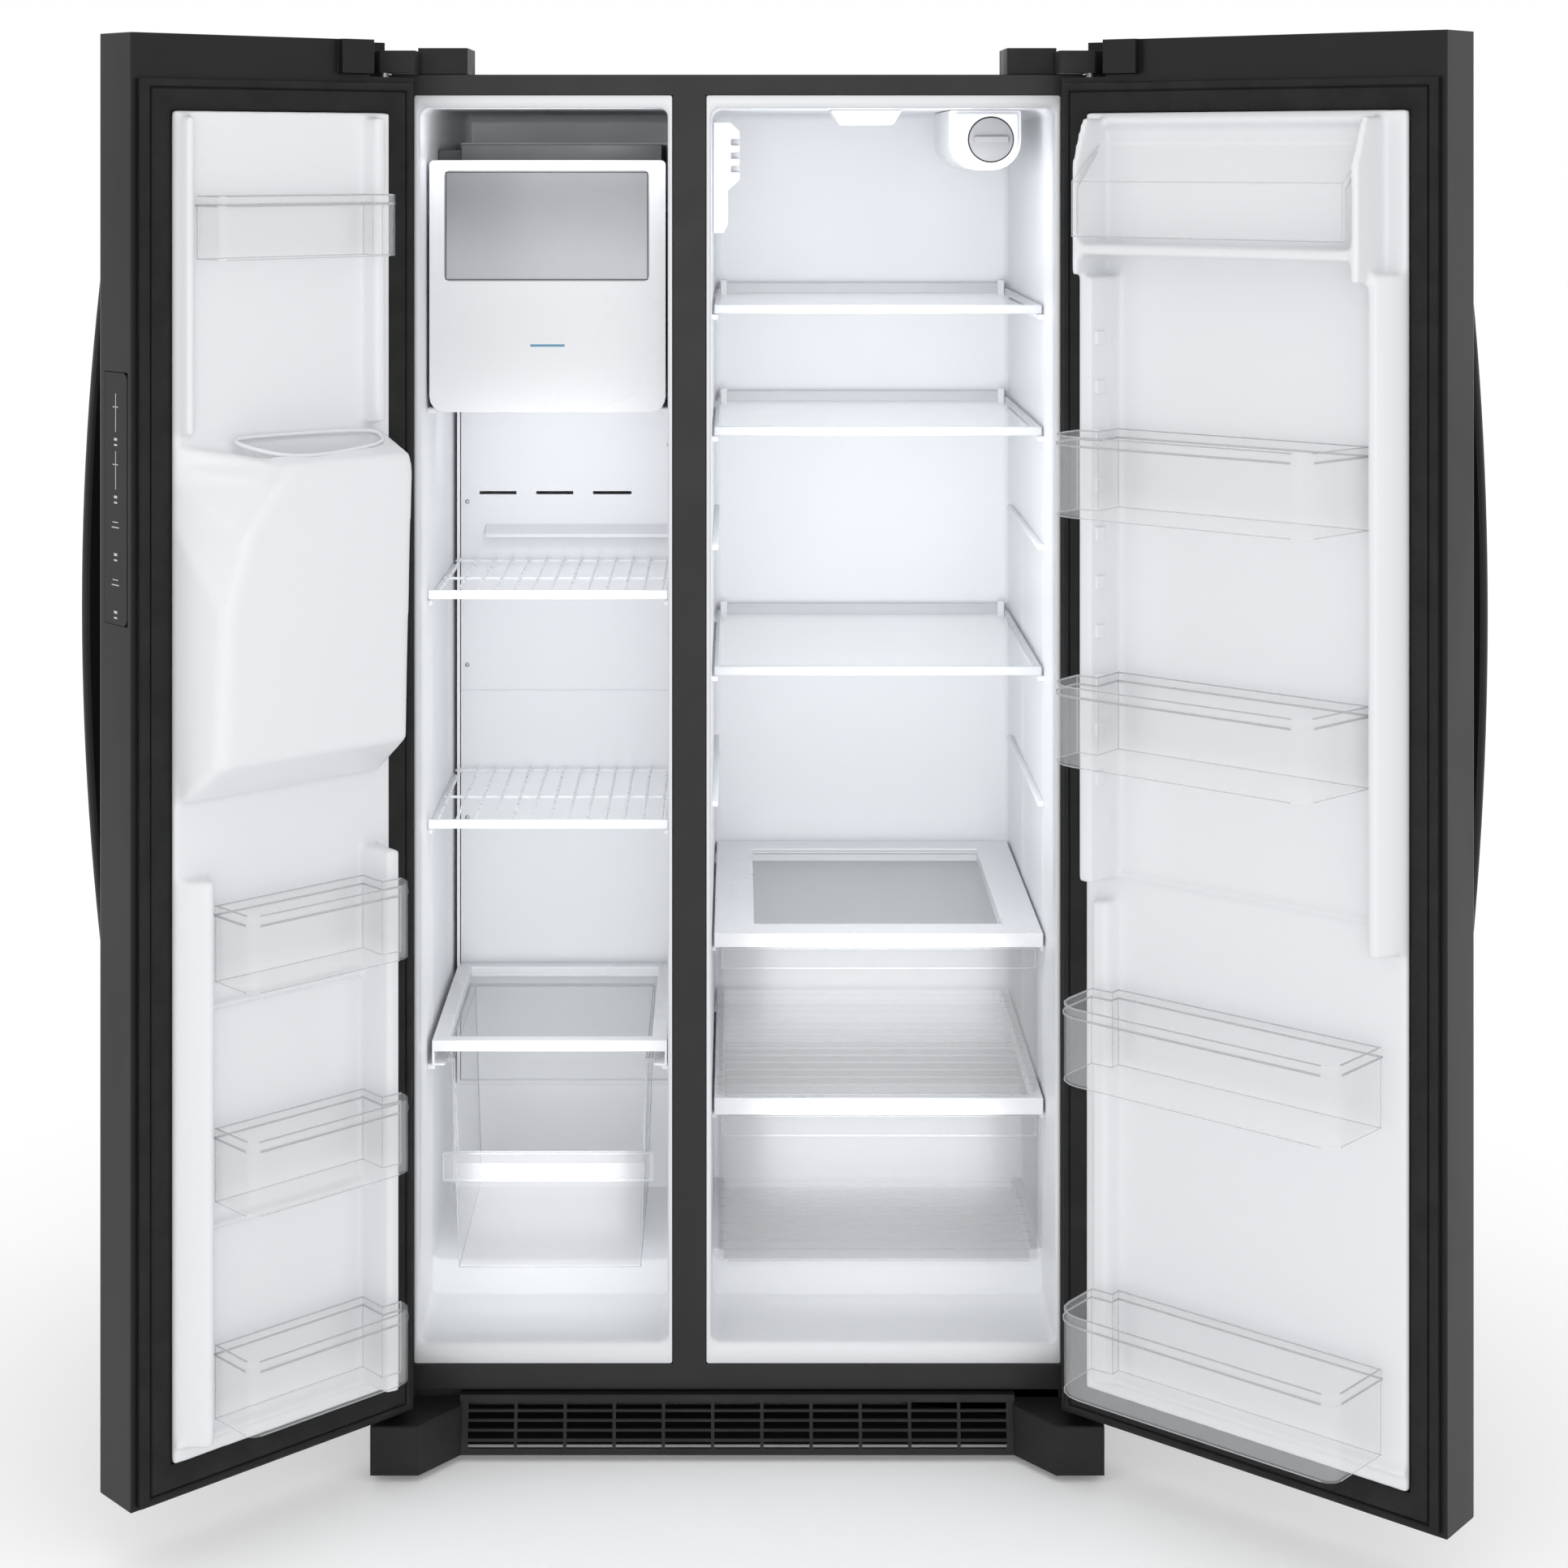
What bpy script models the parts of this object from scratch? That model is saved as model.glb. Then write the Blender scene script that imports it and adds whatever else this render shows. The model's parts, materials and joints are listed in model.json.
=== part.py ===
"""A side by side refrigerator with its freezer door and its fresh food door standing open.

Sizes are in millimetres and become metres where a mesh is made. The cabinet frame has X to the
right, Y to the back from the front plane of the face frame, and Z up from the floor. A door is
drawn in its own frame, with a counted from the hinged edge towards the free edge and b from the
outer face inwards, and its origin lies on the hinge axis.
"""

import math

import bpy
import bmesh
from mathutils import Matrix, Vector

MM = 0.001
GAP = 0.5

# Cabinet
OVERALL_WIDTH = 914.0
CABINET_WIDTH = 910.0
CABINET_TOP = 1723.5
CABINET_BOTTOM = 78.0
CABINET_DEPTH = 690.0
FRAME_THICKNESS = 6.0
SIDE = CABINET_WIDTH / 2
FREEZER_OPENING = (-405.0, -81.0)
FRIDGE_OPENING = (-39.0, 405.0)
OPENING_HEIGHTS = (110.0, 1698.0)
LINER_RIM = 6.0
LINER_WALL = 3.0
FLOOR = 136.0
CEILING = 1682.0
STEP_FRONT = 154.0
STEP_FLOOR = 177.0
COMPRESSOR_WALL = 424.0
HIGH_FLOOR = 316.0
LINER_BACK = 612.0
MACHINE_FRONT = 441.0
MACHINE_TOP = 300.0

# Doors
FREEZER_DOOR_WIDTH = 395.0
FRIDGE_DOOR_WIDTH = 510.0
DOOR_THICKNESS = 73.5
DOOR_TOP = 1763.0
DOOR_BOTTOM = 79.0
DOOR_STANDOFF = 12.0
PIN_FROM_EDGE = 21.0
PIN_FROM_FACE = 40.0
PIN_RADIUS = 6.0
NOTCH_DEPTH = 12.0
NOTCH_WIDTH = 65.0
NOTCH_FLOOR = 1718.0
HINGE_X = OVERALL_WIDTH / 2 - PIN_FROM_EDGE
HINGE_Y = PIN_FROM_FACE - DOOR_THICKNESS - DOOR_STANDOFF
FREEZER_DOOR_OPEN = 137.5
FRIDGE_DOOR_OPEN = 140.4
GASKET = (74.0, 84.5)
GASKET_HEIGHTS = ((83.0, 1711.0), (120.0, 1675.0))
HINGED_BEVEL = (5.0, 1.7)
INNER_PLATE = (74.0, 84.0)
PLATE_HEIGHTS = (120.5, 1674.5)
DIKE_FOOT = FLOOR + 4
DIKE_TOP = 1668.0

# Handles
HANDLE_REACH = 62.0
HANDLE_HALF_LENGTH = 409.0
HANDLE_MIDDLE = 1093.0
HANDLE_FROM_FREE_EDGE = 25.0


# Shapes

PLACES = {
    "X": lambda u, v, w: Vector((w, u, v)) * MM,
    "Y": lambda u, v, w: Vector((u, w, v)) * MM,
    "Z": lambda u, v, w: Vector((u, v, w)) * MM,
}


def to_object(bm):
    """The finished bmesh as an object of the scene, its faces turned outwards."""
    bmesh.ops.recalc_face_normals(bm, faces=bm.faces)
    mesh = bpy.data.meshes.new("piece")
    bm.to_mesh(mesh)
    bm.free()
    obj = bpy.data.objects.new("piece", mesh)
    bpy.context.scene.collection.objects.link(obj)
    return obj


def prism(outline, axis, low, high):
    """A straight extrusion: its outline is (y, z) along X, (x, z) along Y or (x, y) along Z."""
    place = PLACES[axis]
    bm = bmesh.new()
    base = bm.faces.new([bm.verts.new(place(u, v, low)) for u, v in outline])
    swept = bmesh.ops.extrude_face_region(bm, geom=[base])["geom"]
    top = [item for item in swept if isinstance(item, bmesh.types.BMVert)]
    bmesh.ops.translate(bm, verts=top, vec=place(0, 0, high - low))
    return to_object(bm)


def rectangle(across, up):
    return [(across[0], up[0]), (across[1], up[0]), (across[1], up[1]), (across[0], up[1])]


def box(x, y, z):
    return prism(rectangle(sorted(x), sorted(y)), "Z", *sorted(z))


def rounded(corners, radius, steps=4):
    """An outline with arcs in place of its corners; radius is one number or one per corner."""
    radii = radius if isinstance(radius, list) else [radius] * len(corners)
    outline = []
    for index, corner in enumerate(corners):
        here = Vector(corner)
        if not radii[index]:
            outline.append(corner)
            continue
        before = (Vector(corners[index - 1]) - here).normalized()
        after = (Vector(corners[(index + 1) % len(corners)]) - here).normalized()
        half = before.angle(after) / 2
        centre = here + (before + after).normalized() * radii[index] / math.sin(half)
        start = (here + before * radii[index] / math.tan(half) - centre).normalized()
        end = (here + after * radii[index] / math.tan(half) - centre).normalized()
        for step in range(steps + 1):
            outline.append(tuple(centre + start.slerp(end, step / steps) * radii[index]))
    return outline


def offset(outline, distance):
    """The outline moved outwards by a distance, or inwards where the distance is negative."""
    pairs = list(zip(outline, outline[1:] + outline[:1]))
    area = sum(x0 * y1 - x1 * y0 for (x0, y0), (x1, y1) in pairs)
    turn = math.copysign(1, area)
    moved = []
    for index, corner in enumerate(outline):
        into = (Vector(corner) - Vector(outline[index - 1])).normalized()
        away = (Vector(outline[(index + 1) % len(outline)]) - Vector(corner)).normalized()
        normals = [Vector((edge.y, -edge.x)) * turn for edge in (into, away)]
        mitre = (normals[0] + normals[1]) / (1 + normals[0].dot(normals[1]))
        moved.append(tuple(Vector(corner) + mitre * distance))
    return moved


def circle(centre, radius, sides=24):
    angles = [math.tau * index / sides for index in range(sides)]
    return [(centre[0] + radius * math.cos(t), centre[1] + radius * math.sin(t)) for t in angles]


def cylinder(axis, centre, radius, low, high, sides=24):
    return prism(circle(centre, radius, sides), axis, low, high)


def loft(rings):
    """A closed body skinned over rings of equally many points."""
    bm = bmesh.new()
    loops = [[bm.verts.new(Vector(point) * MM) for point in ring] for ring in rings]
    for lower, upper in zip(loops, loops[1:]):
        for index in range(len(lower)):
            after = (index + 1) % len(lower)
            bm.faces.new((lower[index], lower[after], upper[after], upper[index]))
    bm.faces.new(loops[0])
    bm.faces.new(loops[-1])
    return to_object(bm)


def tube(path, radius, sides=6):
    """A round bar along a path."""
    points = [Vector(point) for point in path]
    side = (points[1] - points[0]).orthogonal()
    rings = []
    for index, point in enumerate(points):
        ahead = points[min(index + 1, len(points) - 1)] - points[max(index - 1, 0)]
        ahead.normalize()
        side = (side - ahead * side.dot(ahead)).normalized()
        other = ahead.cross(side)
        rings.append([point + side * u + other * v for u, v in circle((0, 0), radius, sides)])
    return loft(rings)


def combine(body, operation, others):
    """The body after one exact Boolean with all the others, which are used up."""
    helpers = bpy.data.collections.new("helpers")
    for other in others:
        helpers.objects.link(other)
    modifier = body.modifiers.new(operation, "BOOLEAN")
    modifier.operation = operation
    modifier.solver = "EXACT"
    modifier.operand_type = "COLLECTION"
    modifier.collection = helpers
    graph = bpy.context.evaluated_depsgraph_get()
    mesh = bpy.data.meshes.new_from_object(body.evaluated_get(graph))
    body.modifiers.clear()
    body.data = mesh
    for other in others:
        bpy.data.objects.remove(other)
    bpy.data.collections.remove(helpers)
    return body


def union(body, *others):
    return combine(body, "UNION", others)


def cut(body, *cutters):
    return combine(body, "DIFFERENCE", cutters)


def tray(outline, bottom, top, wall):
    """An open box with a floor and walls of one thickness, standing on an outline in plan."""
    body = prism(outline, "Z", bottom, top)
    return cut(body, prism(offset(outline, -wall), "Z", bottom + wall, top + 1))


def mirrored(outline, side):
    """An outline in plan drawn for the right side, or its mirror image for the left."""
    return [(x * side, y) for x, y in outline]


# Materials


def material(name, colour, roughness, metallic=0.0, alpha=1.0):
    made = bpy.data.materials.new(name)
    made.use_nodes = True
    shader = made.node_tree.nodes["Principled BSDF"]
    shader.inputs["Base Color"].default_value = (*colour, 1.0)
    shader.inputs["Roughness"].default_value = roughness
    shader.inputs["Metallic"].default_value = metallic
    shader.inputs["Alpha"].default_value = alpha
    return made


def make_materials():
    """One material for each kind of stuff; sub-parts of the same stuff share it."""
    return {
        "black_paint": material("black_paint", (0.022, 0.022, 0.023), 0.38),
        "frame_paint": material("frame_paint", (0.036, 0.036, 0.037), 0.42),
        "black_plastic": material("black_plastic", (0.020, 0.020, 0.021), 0.45),
        "gloss_panel": material("gloss_panel", (0.010, 0.010, 0.011), 0.12),
        "white_liner": material("white_liner", (0.80, 0.81, 0.83), 0.35),
        "white_plastic": material("white_plastic", (0.82, 0.83, 0.85), 0.30),
        "grey_plastic": material("grey_plastic", (0.33, 0.34, 0.36), 0.40),
        "clear_plastic": material("clear_plastic", (0.86, 0.89, 0.92), 0.08, alpha=0.35),
        "shelf_glass": material("shelf_glass", (0.84, 0.89, 0.90), 0.04, alpha=0.35),
        "white_wire": material("white_wire", (0.84, 0.85, 0.87), 0.35),
        "gasket_rubber": material("gasket_rubber", (0.018, 0.018, 0.019), 0.70),
        "galvanised_steel": material("galvanised_steel", (0.55, 0.56, 0.57), 0.38, 1.0),
        "compressor_paint": material("compressor_paint", (0.012, 0.012, 0.013), 0.30),
        "coil_tube": material("coil_tube", (0.62, 0.63, 0.64), 0.35, 1.0),
        "roller_nylon": material("roller_nylon", (0.16, 0.16, 0.17), 0.50),
    }


def node(obj, name, made_of, parent, pivot=(0, 0, 0)):
    """Names a finished piece, puts its origin on its pivot and hangs it from its parent."""
    pivot = Vector(pivot) * MM
    obj.data.transform(Matrix.Translation(-pivot))
    obj.location = pivot
    obj.parent = parent
    obj.name = name
    obj.data.name = name
    obj.data.materials.clear()
    obj.data.materials.append(made_of)
    obj.data.shade_smooth()
    obj.data.set_sharp_from_angle(angle=math.radians(30))
    return obj


def empty(name, location=(0, 0, 0), turn=0.0, parent=None):
    made = bpy.data.objects.new(name, None)
    bpy.context.scene.collection.objects.link(made)
    made.location = Vector(location) * MM
    made.rotation_euler.z = math.radians(turn)
    made.parent = parent
    return made


# Cabinet


def face_frame():
    frame = box((-SIDE, SIDE), (0, FRAME_THICKNESS), (CABINET_BOTTOM, CABINET_TOP))
    through = (-1, FRAME_THICKNESS + 1)
    windows = [box(x, through, OPENING_HEIGHTS) for x in (FREEZER_OPENING, FRIDGE_OPENING)]
    return cut(frame, *windows)


def liner_profile():
    """The inside of a compartment seen from its side, as (y, z), open towards the front."""
    return [
        (-4.0, FLOOR),
        (STEP_FRONT, FLOOR),
        (STEP_FRONT + 6, STEP_FLOOR),
        (COMPRESSOR_WALL, STEP_FLOOR),
        (COMPRESSOR_WALL + 6, HIGH_FLOOR),
        (LINER_BACK, HIGH_FLOOR),
        (LINER_BACK, CEILING),
        (-4.0, CEILING),
    ]


def inside_walls(opening):
    return opening[0] + LINER_RIM, opening[1] - LINER_RIM


def cabinet_shell():
    """The steel wrapper with the foam behind it, foamed in place as one rigid body."""
    front = FRAME_THICKNESS + GAP
    shell = box((-SIDE, SIDE), (front, CABINET_DEPTH), (CABINET_BOTTOM, CABINET_TOP))
    skirts = [
        box((side * (SIDE - 3), side * SIDE), (front, CABINET_DEPTH), (28, CABINET_BOTTOM + 1))
        for side in (-1, 1)
    ]
    room = LINER_WALL + GAP
    cavities = []
    for opening in (FREEZER_OPENING, FRIDGE_OPENING):
        left, right = inside_walls(opening)
        cavities.append(prism(offset(liner_profile(), room), "X", left - room, right + room))
    machine = box((-446, 446), (MACHINE_FRONT, CABINET_DEPTH + 1), (CABINET_BOTTOM - 1, MACHINE_TOP))
    return cut(union(shell, *skirts), machine, *cavities)


def wall_rests(opening, heights, depths, reach, thickness):
    """Pairs of rails on the side walls, each with its top at a given height."""
    left, right = inside_walls(opening)
    rests = []
    for height in heights:
        for inner, outer in ((left + reach, left - 1), (right - reach, right + 1)):
            rests.append(box((inner, outer), depths, (height - thickness, height)))
    return rests


def liner(opening, rests):
    left, right = inside_walls(opening)
    profile = liner_profile()
    body = prism(offset(profile, LINER_WALL), "X", left - LINER_WALL, right + LINER_WALL)
    rim_x = (opening[0] + GAP, opening[1] - GAP)
    rim_z = (OPENING_HEIGHTS[0] + GAP, OPENING_HEIGHTS[1] - GAP)
    union(body, box(rim_x, (1, 4), rim_z))
    in_front = box((-SIDE, SIDE), (-20, 1), (0, CABINET_TOP))
    cut(body, prism(profile, "X", left, right), in_front)
    return union(body, *rests)


def freezer_liner():
    rests = wall_rests(FREEZER_OPENING, WIRE_SHELF_RESTS, (100, 420), 7, 8)
    rests += wall_rests(FREEZER_OPENING, [ICE_BIN_REST], (100, 430), 12, 8)
    rests += wall_rests(FREEZER_OPENING, [BASKET_COVER_REST], (100, 420), 10, 8)
    return liner(FREEZER_OPENING, rests)


def fridge_liner():
    under_glass = [top - SHELF_EDGE - GAP for top in GLASS_SHELF_TOPS]
    rests = wall_rests(FRIDGE_OPENING, under_glass + EMPTY_RESTS, (140, 560), 8, 8)
    under_frames = [CRISPER_COVER[0] - GAP, MID_FRAME[0] - GAP]
    rests += wall_rests(FRIDGE_OPENING, under_frames, (130, 560), 6, 8)
    rests += wall_rests(FRIDGE_OPENING, [LOWER_CRISPER[0] - GAP], (165, 420), 16, 16)
    return liner(FRIDGE_OPENING, rests)


# Freezer compartment

WIRE_SHELF_TOPS = (1064.0, 769.5)
WIRE_SHELF_RESTS = [1046.5, 752.0]
WIRE_SHELF_X = (-396.0, -90.0)
ICE_BIN_REST = 1298.0
BASKET_COVER_REST = 453.5
COVER_DEPTH = 440.0


def evaporator_cover():
    """The back panel of the freezer: three air slots, a ledge and a seam groove."""
    cover = box((-389, -90), (COVER_DEPTH, COVER_DEPTH + 4), (HIGH_FLOOR + 4, 1640))
    ledge = [(COVER_DEPTH + 1, 1104), (420, 1092), (420, 1087), (COVER_DEPTH + 1, 1087)]
    union(cover, prism(ledge, "X", -353, -92))
    through = (COVER_DEPTH - 1, COVER_DEPTH + 5)
    slots = [box(x, through, (1145, 1149.5)) for x in ((-363, -311), (-283, -231), (-203, -149))]
    seam = box((-390, -89), (COVER_DEPTH - 1, COVER_DEPTH + 1), (869, 871))
    return cut(cover, seam, *slots)


def evaporator_coil():
    """One tube in eight passes, hidden behind the back panel."""
    left, right, radius, pitch = -358.0, -130.0, 30.0, 60.0
    path = [(left, LINER_BACK - GAP, 340), (left, 510, 340)]
    for index in range(8):
        height = 340 + index * pitch
        going_right = index % 2 == 0
        end = right if going_right else left
        way = 1 if going_right else -1
        if index == 7:
            break
        for step in range(5):
            angle = math.radians(-90 + 45 * step)
            x = end + way * radius * math.cos(angle)
            path.append((x, 500, height + radius + radius * math.sin(angle)))
    path += [(left, 510, 340 + 7 * pitch), (left, LINER_BACK - GAP, 340 + 7 * pitch)]
    return tube(path, 5.0)


def ice_maker():
    body = box((-365, -100), (200, 432), (1560, 1637))
    hangers = [box((-398.5, -364), (y, y + 25), (1600, 1630)) for y in (230, 380)]
    mould = box((-350, -115), (215, 420), (1590, 1638))
    arm = box((-101, -92), (230, 236), (1560, 1600))
    return union(cut(body, mould), arm, *hangers)


def ice_bin():
    """The ice bucket: a front with a deep framed window and the bucket behind it."""
    front = prism(rounded(rectangle((-395, -92), (1293, 1616)), [20, 20, 6, 6]), "Y", 88, 100)
    window = prism(rounded(rectangle((-376, -113), (1461, 1603)), 6, 2), "Y", 80, 97)
    bucket = tray(rectangle((-391, -96), (99, 428)), ICE_BIN_REST + GAP, 1545, 2.5)
    return cut(union(front, bucket), window)


def wire_shelf(top):
    """A flat front bar with thirteen wires running back to a cross wire."""
    bar = box(WIRE_SHELF_X, (90, 94), (top - 11, top))
    level = top - 8.5
    radius = 1.9
    step = (WIRE_SHELF_X[1] - WIRE_SHELF_X[0] - 16) / 12
    wires = []
    for index in range(13):
        x = WIRE_SHELF_X[0] + 8 + index * step
        wires.append(cylinder("Y", (x, level), radius, 92, 436, sides=6))
    for y, reach in ((110, 0), (270, 1), (433, 0)):
        low, high = WIRE_SHELF_X[0] + reach, WIRE_SHELF_X[1] - reach
        wires.append(cylinder("X", (y, level - 2 * radius + 0.8), radius, low, high, sides=6))
    return union(bar, *wires)


def basket_cover():
    """A frame with a pane in it, and a rail along each side for the basket to hang from."""
    x, y, z = (-392, -90), (90, 436), (472, 486.5)
    frame = box(x, y, z)
    well = box((-372, -110), (108, 418), (477, 490))
    under = box((-372, -110), (108, 418), (470, 474.5))
    cut(frame, well, under)
    rails = []
    for outer, way in ((x[0], 1), (x[1], -1)):
        rails.append(box((outer, outer + way * 3), y, (454, 473)))
        rails.append(box((outer, outer + way * 17), y, (454, 457)))
    return union(frame, *rails)


def freezer_basket():
    """A deep clear basket, narrower at its foot, with a low front and a wide front lip."""
    def ring(x, y, z):
        return [(x[0], y[0], z), (x[1], y[0], z), (x[1], y[1], z), (x[0], y[1], z)]

    wall = 2.5
    foot = ((-358, -124), (99, 412))
    top = ((-367, -115), (96, 420))
    outer = loft([ring(*foot, 192), ring(*top, 461)])
    flange = box((-374, -108), (96, 423), (457.5, 461))
    room = [[(low + wall, high - wall) for low, high in plan] for plan in (foot, top)]
    inner = loft([ring(*room[0], 192 + wall), ring(*room[1], 462)])
    low_front = box((-363, -119), (90, 112), (341, 470))
    lip = box((-378, -108), (92, 97.5), (305, 341))
    return union(cut(union(outer, flange), inner, low_front), lip)


# Fresh food compartment

SHELF_X = (-30.0, 396.0)
GLASS_SHELF_TOPS = (1428.0, 1269.5, 957.5)
SHELF_EDGE = 11.5
EMPTY_RESTS = [1116.0, 782.0]
CRISPER_COVER = (597.5, 616.0)
MID_FRAME = (381.0, 403.0)
UPPER_CRISPER = (406.0, 596.5)
LOWER_CRISPER = (191.0, 380.0)
CRISPER_X = (-26.0, 392.0)


def glass_shelf(top):
    """A pane let into a shallow surround with a deeper front edge and a raised back edge."""
    surround = box(SHELF_X, (136, 611), (top - SHELF_EDGE, top))
    over = box((SHELF_X[0] + 8, SHELF_X[1] - 8), (146, 601), (top - 2.5, top + 1))
    under = box((SHELF_X[0] + 10, SHELF_X[1] - 10), (148, 599), (top - SHELF_EDGE - 1, top - 6.5))
    stop = box((SHELF_X[0] + 4, SHELF_X[1] - 4), (606, 610), (top - 2, top + 12))
    return union(cut(surround, over, under), stop)


def crisper_cover():
    y = (118, 610)
    frame = box(SHELF_X, y, CRISPER_COVER)
    well = box((22, 347), (165, 562), (CRISPER_COVER[1] - 3, CRISPER_COVER[1] + 1))
    under = box((22, 347), (165, 562), (CRISPER_COVER[0] - 1, CRISPER_COVER[1] - 7.5))
    return cut(frame, well, under)


def crisper_mid_frame():
    frame = box(SHELF_X, (118, 600), MID_FRAME)
    hole = box((SHELF_X[0] + 12, SHELF_X[1] - 12), (132, 588), (370, 420))
    return cut(frame, hole)


def crisper(heights, back):
    """A clear drawer with a turned lip as its handle and ribs across its floor."""
    outline = rounded(rectangle(CRISPER_X, (121, back)), [14, 14, 6, 6], 3)
    drawer = tray(outline, heights[0], heights[1], 2.5)
    lip = box((CRISPER_X[0] + 6, CRISPER_X[1] - 6), (118, 123), (heights[1] - 26, heights[1]))
    ribs = [
        box((CRISPER_X[0] + 1, CRISPER_X[1] - 1), (y, y + 2), (heights[0] + 1, heights[0] + 4.5))
        for y in range(150, int(back) - 20, 30)
    ]
    return union(drawer, lip, *ribs)


def ceiling_lamp():
    lens = [(122, CEILING - GAP), (216, CEILING - GAP), (204, 1662), (134, 1662)]
    return prism(rounded(lens, [0, 0, 6, 6], 3), "Y", 160, 250)


FILTER_AXIS = (330.0, 1643.0)


def filter_housing():
    """The round nose of the water filter's housing, hung from the ceiling."""
    corners = rectangle((276, 370), (1603, CEILING - GAP))
    body = prism(rounded(corners, [38, 38, 4, 4], 6), "Y", 145, 430)
    nose = prism(rounded(offset(corners, -5), [34, 34, 4, 4], 6), "Y", 139, 146)
    bore = cylinder("Y", FILTER_AXIS, 30.0, 130, 400, 32)
    return cut(union(body, nose), bore)


def filter_cartridge():
    cartridge = cylinder("Y", FILTER_AXIS, 28.5, 136, 392, 32)
    middle, height = FILTER_AXIS
    grip = box((middle - 22, middle + 22), (130, 137), (height - 4, height + 4))
    return union(cartridge, grip)


def air_diffuser():
    """The air duct's cover on the dividing wall, with a hooded outlet."""
    left = inside_walls(FRIDGE_OPENING)[0] + GAP
    outline = [(left, 1518), (left + 14, 1518), (left + 20, 1530), (left + 20, 1575), (left + 36, 1590)]
    outline += [(left + 36, 1655), (left + 24, 1667), (left, 1667)]
    body = prism(outline, "Y", 246, 330)
    vents = [box((left + 24, left + 40), (240, 320), (z, z + 8)) for z in (1600, 1618, 1636)]
    return cut(body, *vents)


# Underneath and behind


def base_pan():
    """A folded sheet under the cabinet: it carries the feet, the rollers and the compressor."""
    profile = [(8, 56), (12, 56), (12, 73.5), (426, 73.5), (426, 34), (686, 34)]
    profile += [(686, 38), (430, 38), (430, 77.5), (8, 77.5)]
    pan = prism(profile, "X", -446, 446)
    forks = []
    for side in (-1, 1):
        for inner in (382, 412):
            forks.append(box((side * inner, side * (inner + 5)), (628, 652), (8, 35)))
        forks.append(cylinder("X", (640, 15.5), 3.0, *sorted((side * 383, side * 416)), sides=12))
    return union(pan, *forks)


def roller(side):
    wheel = cylinder("X", (640, 15.5), 15.5, *sorted((side * 388, side * 411)), sides=32)
    bore = cylinder("X", (640, 15.5), 3.6, *sorted((side * 380, side * 420)), sides=16)
    return cut(wheel, bore)


def levelling_leg(side):
    centre = (side * 400, 60)
    stud = cylinder("Z", centre, 5.0, 8, 73, 16)
    nut = cylinder("Z", centre, 10.0, 10, 18, 6)
    return union(cylinder("Z", centre, 18.0, 0, 11, 24), stud, nut)


def toe_grille():
    """One moulding: a leaning slotted panel between two forward corner covers."""
    top, foot = 76.0, 8.0
    slope = [(-10, top), (-6.5, top), (-22.5, foot), (-26, foot)]
    panel = prism(slope, "X", -346, 346)
    lip = box((-346, 346), (-9.5, 7), (top - 3.5, top - 0.5))
    corners = []
    for side in (-1, 1):
        plan = [(344, -26), (390, -80), (449, -80), (449, 5)]
        plan += [(446, 5), (446, -77), (391.5, -77), (344, -21)]
        corners.append(prism(mirrored(plan, side), "Z", foot, 68))
    slots = []
    for low, high in ((59.5, 67.5), (48.5, 56.5), (37.5, 45.5), (26.5, 34.5), (15.5, 23)):
        for column in range(-5, 6):
            middle = column * 61.3
            slots.append(box((middle - 28.6, middle + 28.6), (-40, 0), (low, high)))
    return cut(union(panel, lip, *corners), *slots)


def compressor():
    rings = []
    for height, radius in ((40, 66), (52, 75), (140, 75), (168, 66), (184, 44), (190, 20)):
        rings.append([(x, y, height) for x, y in circle((-150, 570), radius, 28)])
    feet = [box((-150 + way * 55, -150 + way * 105), (545, 595), (38.5, 48)) for way in (-1, 1)]
    pipe = tube([(-150, 570, 180), (-150, 570, 215), (-120, 570, 230), (-60, 570, 230)], 5.0, 8)
    return union(loft(rings), pipe, *feet)


def condenser_coil():
    """One tube in seven upright passes beside the fan."""
    path = [(150, 540, 39)]
    for index in range(7):
        x = 150 + index * 36
        rising = index % 2 == 0
        if index == 6:
            break
        middle = 200 if rising else 70
        way = 1 if rising else -1
        for step in range(5):
            angle = math.radians(180 - 45 * step)
            z = middle + way * 18 * math.sin(angle)
            path.append((x + 18 + 18 * math.cos(angle), 560, z))
    path.append((150 + 6 * 36, 560, 220))
    return tube(path, 4.5)


FAN_AXIS = (570.0, 140.0)


def condenser_fan():
    hub = cylinder("X", FAN_AXIS, 15.0, 52, 68, 20)
    blades = []
    for index in range(5):
        turn = math.tau * index / 5
        along = Vector((0, math.cos(turn), math.sin(turn)))
        across = Vector((0, -math.sin(turn), math.cos(turn)))
        rings = []
        for reach, width in ((10, 7), (35, 17), (64, 22)):
            middle = Vector((60, *FAN_AXIS)) + along * reach
            lean = Vector((6, 0, 0)) + across * width
            thick = Vector((1.2, 0, 0))
            near = [middle - lean - thick, middle + lean - thick]
            far = [middle + lean + thick, middle - lean + thick]
            rings.append(near + far)
        blades.append(loft(rings))
    bore = cylinder("X", FAN_AXIS, 3.6, 40, 80, 16)
    return cut(union(hub, *blades), bore)


def condenser_fan_motor():
    body = cylinder("X", FAN_AXIS, 30.0, 76, 116, 28)
    shaft = cylinder("X", FAN_AXIS, 3.0, 50, 80, 12)
    leg = box((90, 104), (545, 595), (38.5, 125))
    return union(body, shaft, leg)


def rear_panel():
    panel = box((-444, 444), (682, 684), (40, 298))
    louvres = []
    for column in (-300, -100, 100, 300):
        for row in range(6):
            louvres.append(box((column - 70, column + 70), (680, 686), (90 + row * 26, 98 + row * 26)))
    return cut(panel, *louvres)


# Hinges

BRACKET_LEVELS = (1724.0, 1728.0)


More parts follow.
